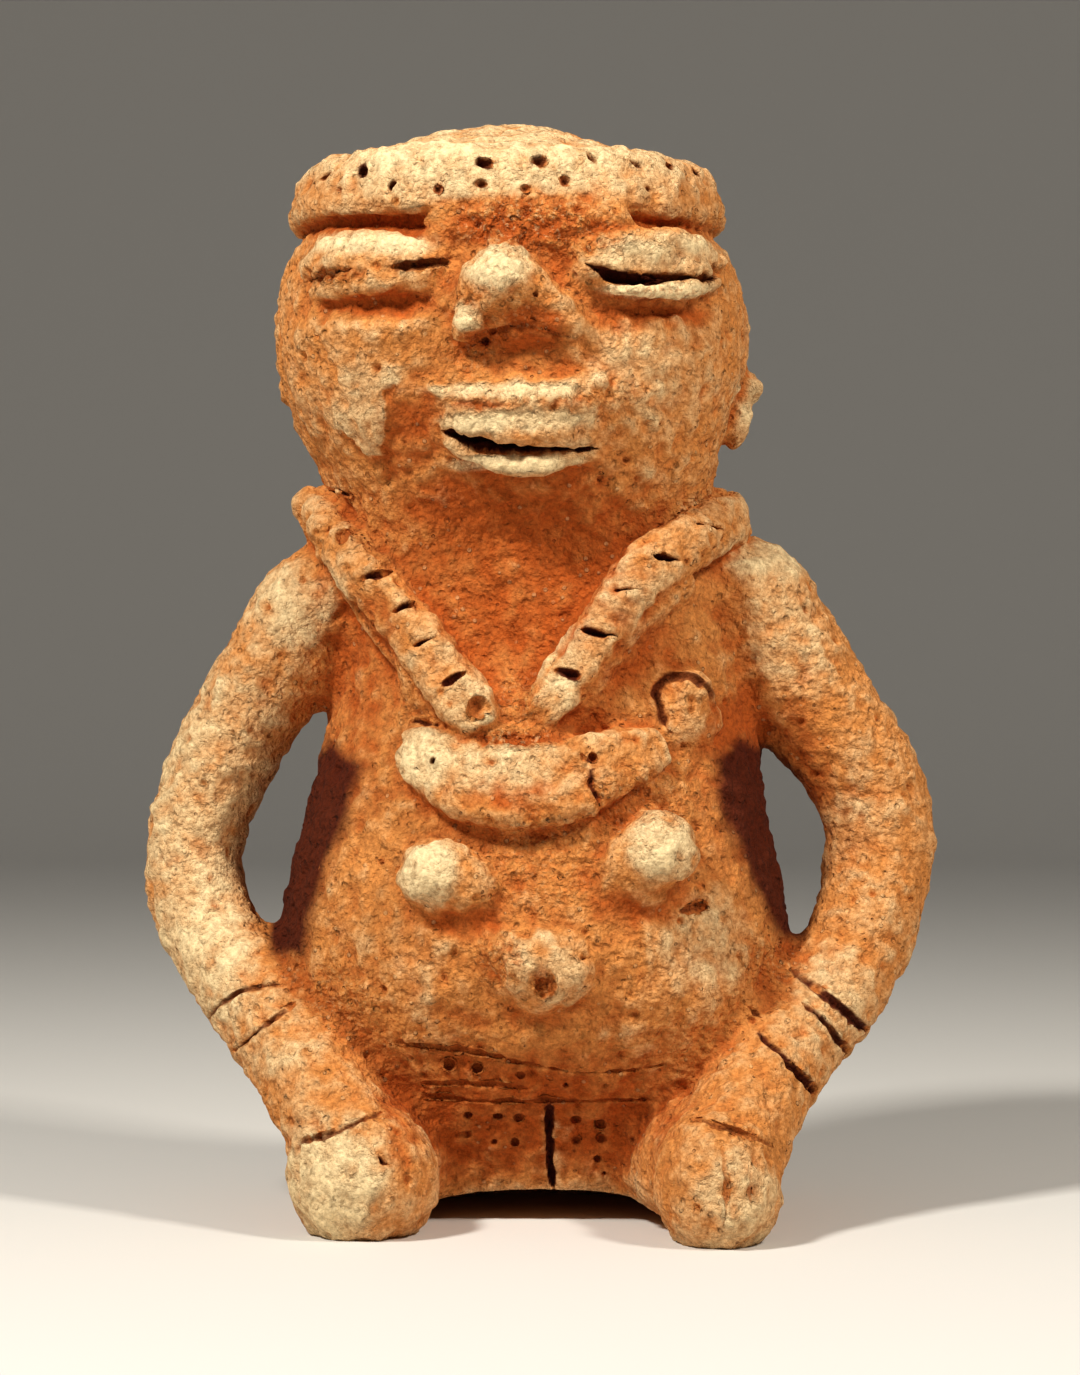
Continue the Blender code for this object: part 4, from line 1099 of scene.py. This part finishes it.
def clay_finish(colours):
    """Orange clay with pale slip in soft patches and dark and pale grit, painted redder in hollows and
    shaded places as painted shade, darker on the flanks and in cuts as painted shadow, and paler on high
    places as painted highlight.
    """
    finish = Finish("fired_clay")
    orange, red_tone_and_shade = tuple(colours.clay), tuple(colours.deep)
    slip, specks_and_painted_shade = tuple(colours.slip), tuple(colours.specks_and_painted_shade)
    pale, deep, hollow, crumb, shade, cut = (
        finish.layer(name) for name in ("pale", "deep", "hollow", "crumb", "shade", "cut"))
    clouds = finish.noise(0.013, 3.0, 0.55)
    mottle = finish.noise(0.0038, 4.0, 0.62)
    fine = finish.noise(0.0010, 3.0, 0.7)
    # Redder tone at random from clouds and mottle, and painted shade: redder in the deep fields and in
    # hollows
    redness_and_shade = finish.total((deep, 0.80), (hollow, 1.20), (crumb, 0.25), (clouds, 0.8), (mottle, 0.6),
                           start=-1.15)
    clay = finish.mix(finish.ramp(redness_and_shade, -0.05, 0.95), orange, red_tone_and_shade)
    # Pale slip in patches, and painted highlight: paler on high places, less pale in hollows and in the
    # painted shade
    slip_wear_and_highlight = finish.total((pale, 0.85), (hollow, -1.10), (crumb, -0.3), (deep, -0.3), (shade, -0.6),
                        (clouds, 0.7), (mottle, 0.7), (fine, 0.5), start=-0.45)
    colour = finish.mix(finish.ramp(slip_wear_and_highlight, -0.10, 1.05), clay, slip)
    speckle = finish.noise(0.0009, 2.0, 0.6)
    dark_crumbs = finish.times(crumb, finish.ramp(speckle, 0.50, 0.62, 0.0, 0.8))
    colour = finish.mix(dark_crumbs, colour, red_tone_and_shade)
    pale_crumbs = finish.times(crumb, finish.ramp(speckle, 0.44, 0.34, 0.0, 0.3))
    colour = finish.mix(pale_crumbs, colour, slip)
    grit = finish.grains(0.0012, 0.30, 0.14, 0.83, 0.88)
    colour = finish.mix(finish.times(grit, 0.38), colour, specks_and_painted_shade)
    temper = finish.grains(0.0017, 0.28, 0.16, 0.72, 0.80)
    colour = finish.mix(finish.times(temper, 0.22), colour, slip)
    # Painted shade: the arms' shadow on the flanks and the dark inside cuts and holes, the latter with some
    # dirt, mixed toward the dark colour
    painted_shade_and_dirt = finish.total((shade, 0.85), (mottle, 0.2), (cut, 0.7), start=-0.1)
    colour = finish.mix(finish.ramp(painted_shade_and_dirt, 0.02, 0.62, 0.0, 0.98), colour, specks_and_painted_shade)
    tint = finish.ramp(fine, 0.28, 0.72, 0.73, 1.19)
    colour = finish.mix(1.0, colour, tint, "MULTIPLY")
    finish.put(finish.shader.inputs["Base Color"], colour)
    finish.put(finish.shader.inputs["Roughness"], finish.ramp(slip_wear_and_highlight, 0.0, 1.0, 0.96, 0.84))
    finish.shader.inputs["Specular IOR Level"].default_value = 0.22
    coarse = finish.noise(0.0030, 2.0, 0.55, 0.3)
    small = finish.noise(0.0012, 2.0, 0.5)
    pocks = finish.grains(0.0021, 0.34, 0.08, 0.50, 0.62)
    height = finish.total((coarse, 0.9), (small, 0.65), (pocks, -0.35), (grit, -0.25), (temper, 0.20))
    smooth = finish.ramp(slip_wear_and_highlight, 0.2, 1.0)
    height = finish.times(height, finish.total((crumb, 0.9), (deep, -0.4), (smooth, -0.6), start=1.0))
    grain = finish.bump(height, 0.0016)
    grain = finish.bump(finish.noise(0.00055, 2.0, 0.6), 0.00022, grain)
    finish.put(finish.shader.inputs["Normal"], grain)
    return finish.material


class STATUETTE_OT_figure(bpy.types.Operator):
    """Model the clay figure and give it its finish"""

    bl_idname = "statuette.figure"
    bl_label = "Clay figure"

    def execute(self, context):
        sizes = context.scene.statuette_sizes
        share = sizes.height / WORKED_HEIGHT
        plain = fuse(clay_object("body", body()), sizes.body_voxel / share, BODY_SOFTENING)
        skin = Skin(plain)
        shells = placed(skin, SMEARED_PELLETS, SMEARED_ROLLS) + [shell_of(plain)]
        fine_cell = SMEARED_SHARE * sizes.body_voxel / share
        smeared = fuse(clay_object("smeared", shells), fine_cell, BODY_SOFTENING)
        shells = applied(skin) + [shell_of(smeared)]
        statuette = fuse(clay_object("statuette_clay", shells), sizes.skin_voxel / share, SKIN_SOFTENING)
        surface = Surface(statuette)
        middle = 0.5 * (surface.points.min(0) + surface.points.max(0))
        mould(surface)
        skin = Skin(statuette)
        cuts = marks(skin)
        holes = punches(skin)
        refine(statuette, [cut[0] for cut in cuts], holes)
        surface = Surface(statuette)
        for cut in cuts:
            surface.groove(*cut[:5])
        for hole in holes:
            surface.punch(*hole[:4])
        surface.write()
        roughen(surface, sizes.lump_height / share, sizes.grain_height / share)
        flatten_underside(surface.points)
        surface.write()
        thin_out(statuette, sizes.triangles)
        surface = Surface(statuette)
        pits = [(*cut[:4], cut[5]) for cut in cuts]
        pits += [((place, place + (0, 0, 0.01)), *tool) for place, *tool in holes]
        wash_colours(surface, pits)
        surface.points = (surface.points - middle * (1, 1, 0)) * share
        surface.write()
        context.scene["figure_middle"] = [float(number) for number in middle]
        statuette.data.materials.clear()
        statuette.data.materials.append(clay_finish(context.scene.statuette_colours))
        statuette.data.shade_smooth()
        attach(statuette, "root")
        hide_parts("statuette")
        return {"FINISHED"}


def area_lamp(name, place, power, colour):
    """A square soft lamp that looks at the figure's middle."""
    lamp = bpy.data.lights.new(name, "AREA")
    lamp.size, lamp.energy, lamp.color = LAMP_SIZE, power, colour
    obj = bpy.data.objects.new(name, lamp)
    obj.location = place
    obj.rotation_euler = (Vector(LAMP_AIM) - Vector(place)).to_track_quat("-Z", "Y").to_euler()
    bpy.context.scene.collection.objects.link(obj)


def bowl():
    """The floor's mesh: one flat face in the middle, and rings round Z that go out, up a quarter circle
    and on to an upright rim."""
    bend = np.linspace(0, np.pi / 2, BEND_STEPS)
    wall = FLOOR_FLAT + FLOOR_BEND
    out = np.concatenate(((FLOOR_MIDDLE,), FLOOR_FLAT + FLOOR_BEND * np.sin(bend), (wall,)))
    high = np.concatenate(((0.0,), FLOOR_BEND - FLOOR_BEND * np.cos(bend), (FLOOR_RIM,)))
    turns = np.linspace(0, 2 * np.pi, FLOOR_SIDES, endpoint=False)
    points = [(r * math.cos(turn), r * math.sin(turn), z) for r, z in zip(out, high) for turn in turns]
    number = np.arange(len(points)).reshape(-1, FLOOR_SIDES)
    turned = np.roll(number, -1, axis=1)
    quads = np.stack((number[:-1], number[1:], turned[1:], turned[:-1]), -1).reshape(-1, 4).tolist()
    mesh = bpy.data.meshes.new("floor")
    mesh.from_pydata(points, [], quads + [list(range(FLOOR_SIDES))])
    mesh.shade_smooth()
    return mesh


def floor_finish(colour):
    material = bpy.data.materials.new("pale_floor")
    material.use_nodes = True
    shader = material.node_tree.nodes["Principled BSDF"]
    shader.inputs["Base Color"].default_value = colour
    shader.inputs["Roughness"].default_value = 0.8
    return material


class STATUETTE_OT_stage(bpy.types.Operator):
    """Lay the floor and set the lamps and the camera"""

    bl_idname = "statuette.stage"
    bl_label = "Stage"

    def execute(self, context):
        scene = context.scene
        stage = scene.statuette_stage
        share = scene.statuette_sizes.height / WORKED_HEIGHT
        middle = Vector(scene["figure_middle"]) * share
        floor = bpy.data.objects.new("floor", bowl())
        scene.collection.objects.link(floor)
        floor.data.materials.append(floor_finish(stage.floor))
        world = bpy.data.worlds.new("room")
        world.use_nodes = True
        world.node_tree.nodes["Background"].inputs["Color"].default_value = stage.room
        scene.world = world
        for (name, (place, colour)), power in zip(LAMPS.items(), (stage.left_power, stage.right_power)):
            area_lamp(name, place, power, colour)
        camera = bpy.data.cameras.new("camera")
        camera.lens = SENSOR / 2 / (PHOTO_HEIGHT / 2 * PIXEL / -EYE_POINT[1])
        camera.sensor_width = SENSOR
        camera.clip_start = 0.01
        holder = bpy.data.objects.new("camera", camera)
        holder.location = Vector(EYE_POINT) * share - Vector((middle.x, middle.y, 0))
        holder.rotation_euler = (math.pi / 2, 0, 0)
        scene.collection.objects.link(holder)
        scene.camera = holder
        scene.view_settings.view_transform = "Standard"
        scene.view_settings.look = "Medium High Contrast"
        return {"FINISHED"}


class STATUETTE_PT_panel(bpy.types.Panel):
    """The figure's sizes, colours and stage"""

    bl_label = "Female Statuette"
    bl_idname = "STATUETTE_PT_panel"
    bl_space_type = "VIEW_3D"
    bl_region_type = "UI"
    bl_category = "Statuette"

    def draw(self, context):
        for group in ("statuette_sizes", "statuette_colours", "statuette_stage"):
            settings = getattr(context.scene, group)
            for name in settings.__annotations__:
                self.layout.prop(settings, name)
        self.layout.operator("statuette.figure")
        self.layout.operator("statuette.stage")


GROUPS = {
    "statuette_sizes": StatuetteSizes,
    "statuette_colours": StatuetteColours,
    "statuette_stage": StatuetteStage,
}
CLASSES = (*GROUPS.values(), STATUETTE_OT_figure, STATUETTE_OT_stage, STATUETTE_PT_panel)


def register():
    for each in CLASSES:
        bpy.utils.register_class(each)
    for name, group in GROUPS.items():
        setattr(bpy.types.Scene, name, bpy.props.PointerProperty(type=group))


def unregister():
    for name in GROUPS:
        delattr(bpy.types.Scene, name)
    for each in reversed(CLASSES):
        bpy.utils.unregister_class(each)


def main():
    register()
    bpy.ops.statuette.figure()
    bpy.ops.statuette.stage()


if __name__ == "__main__":
    main()
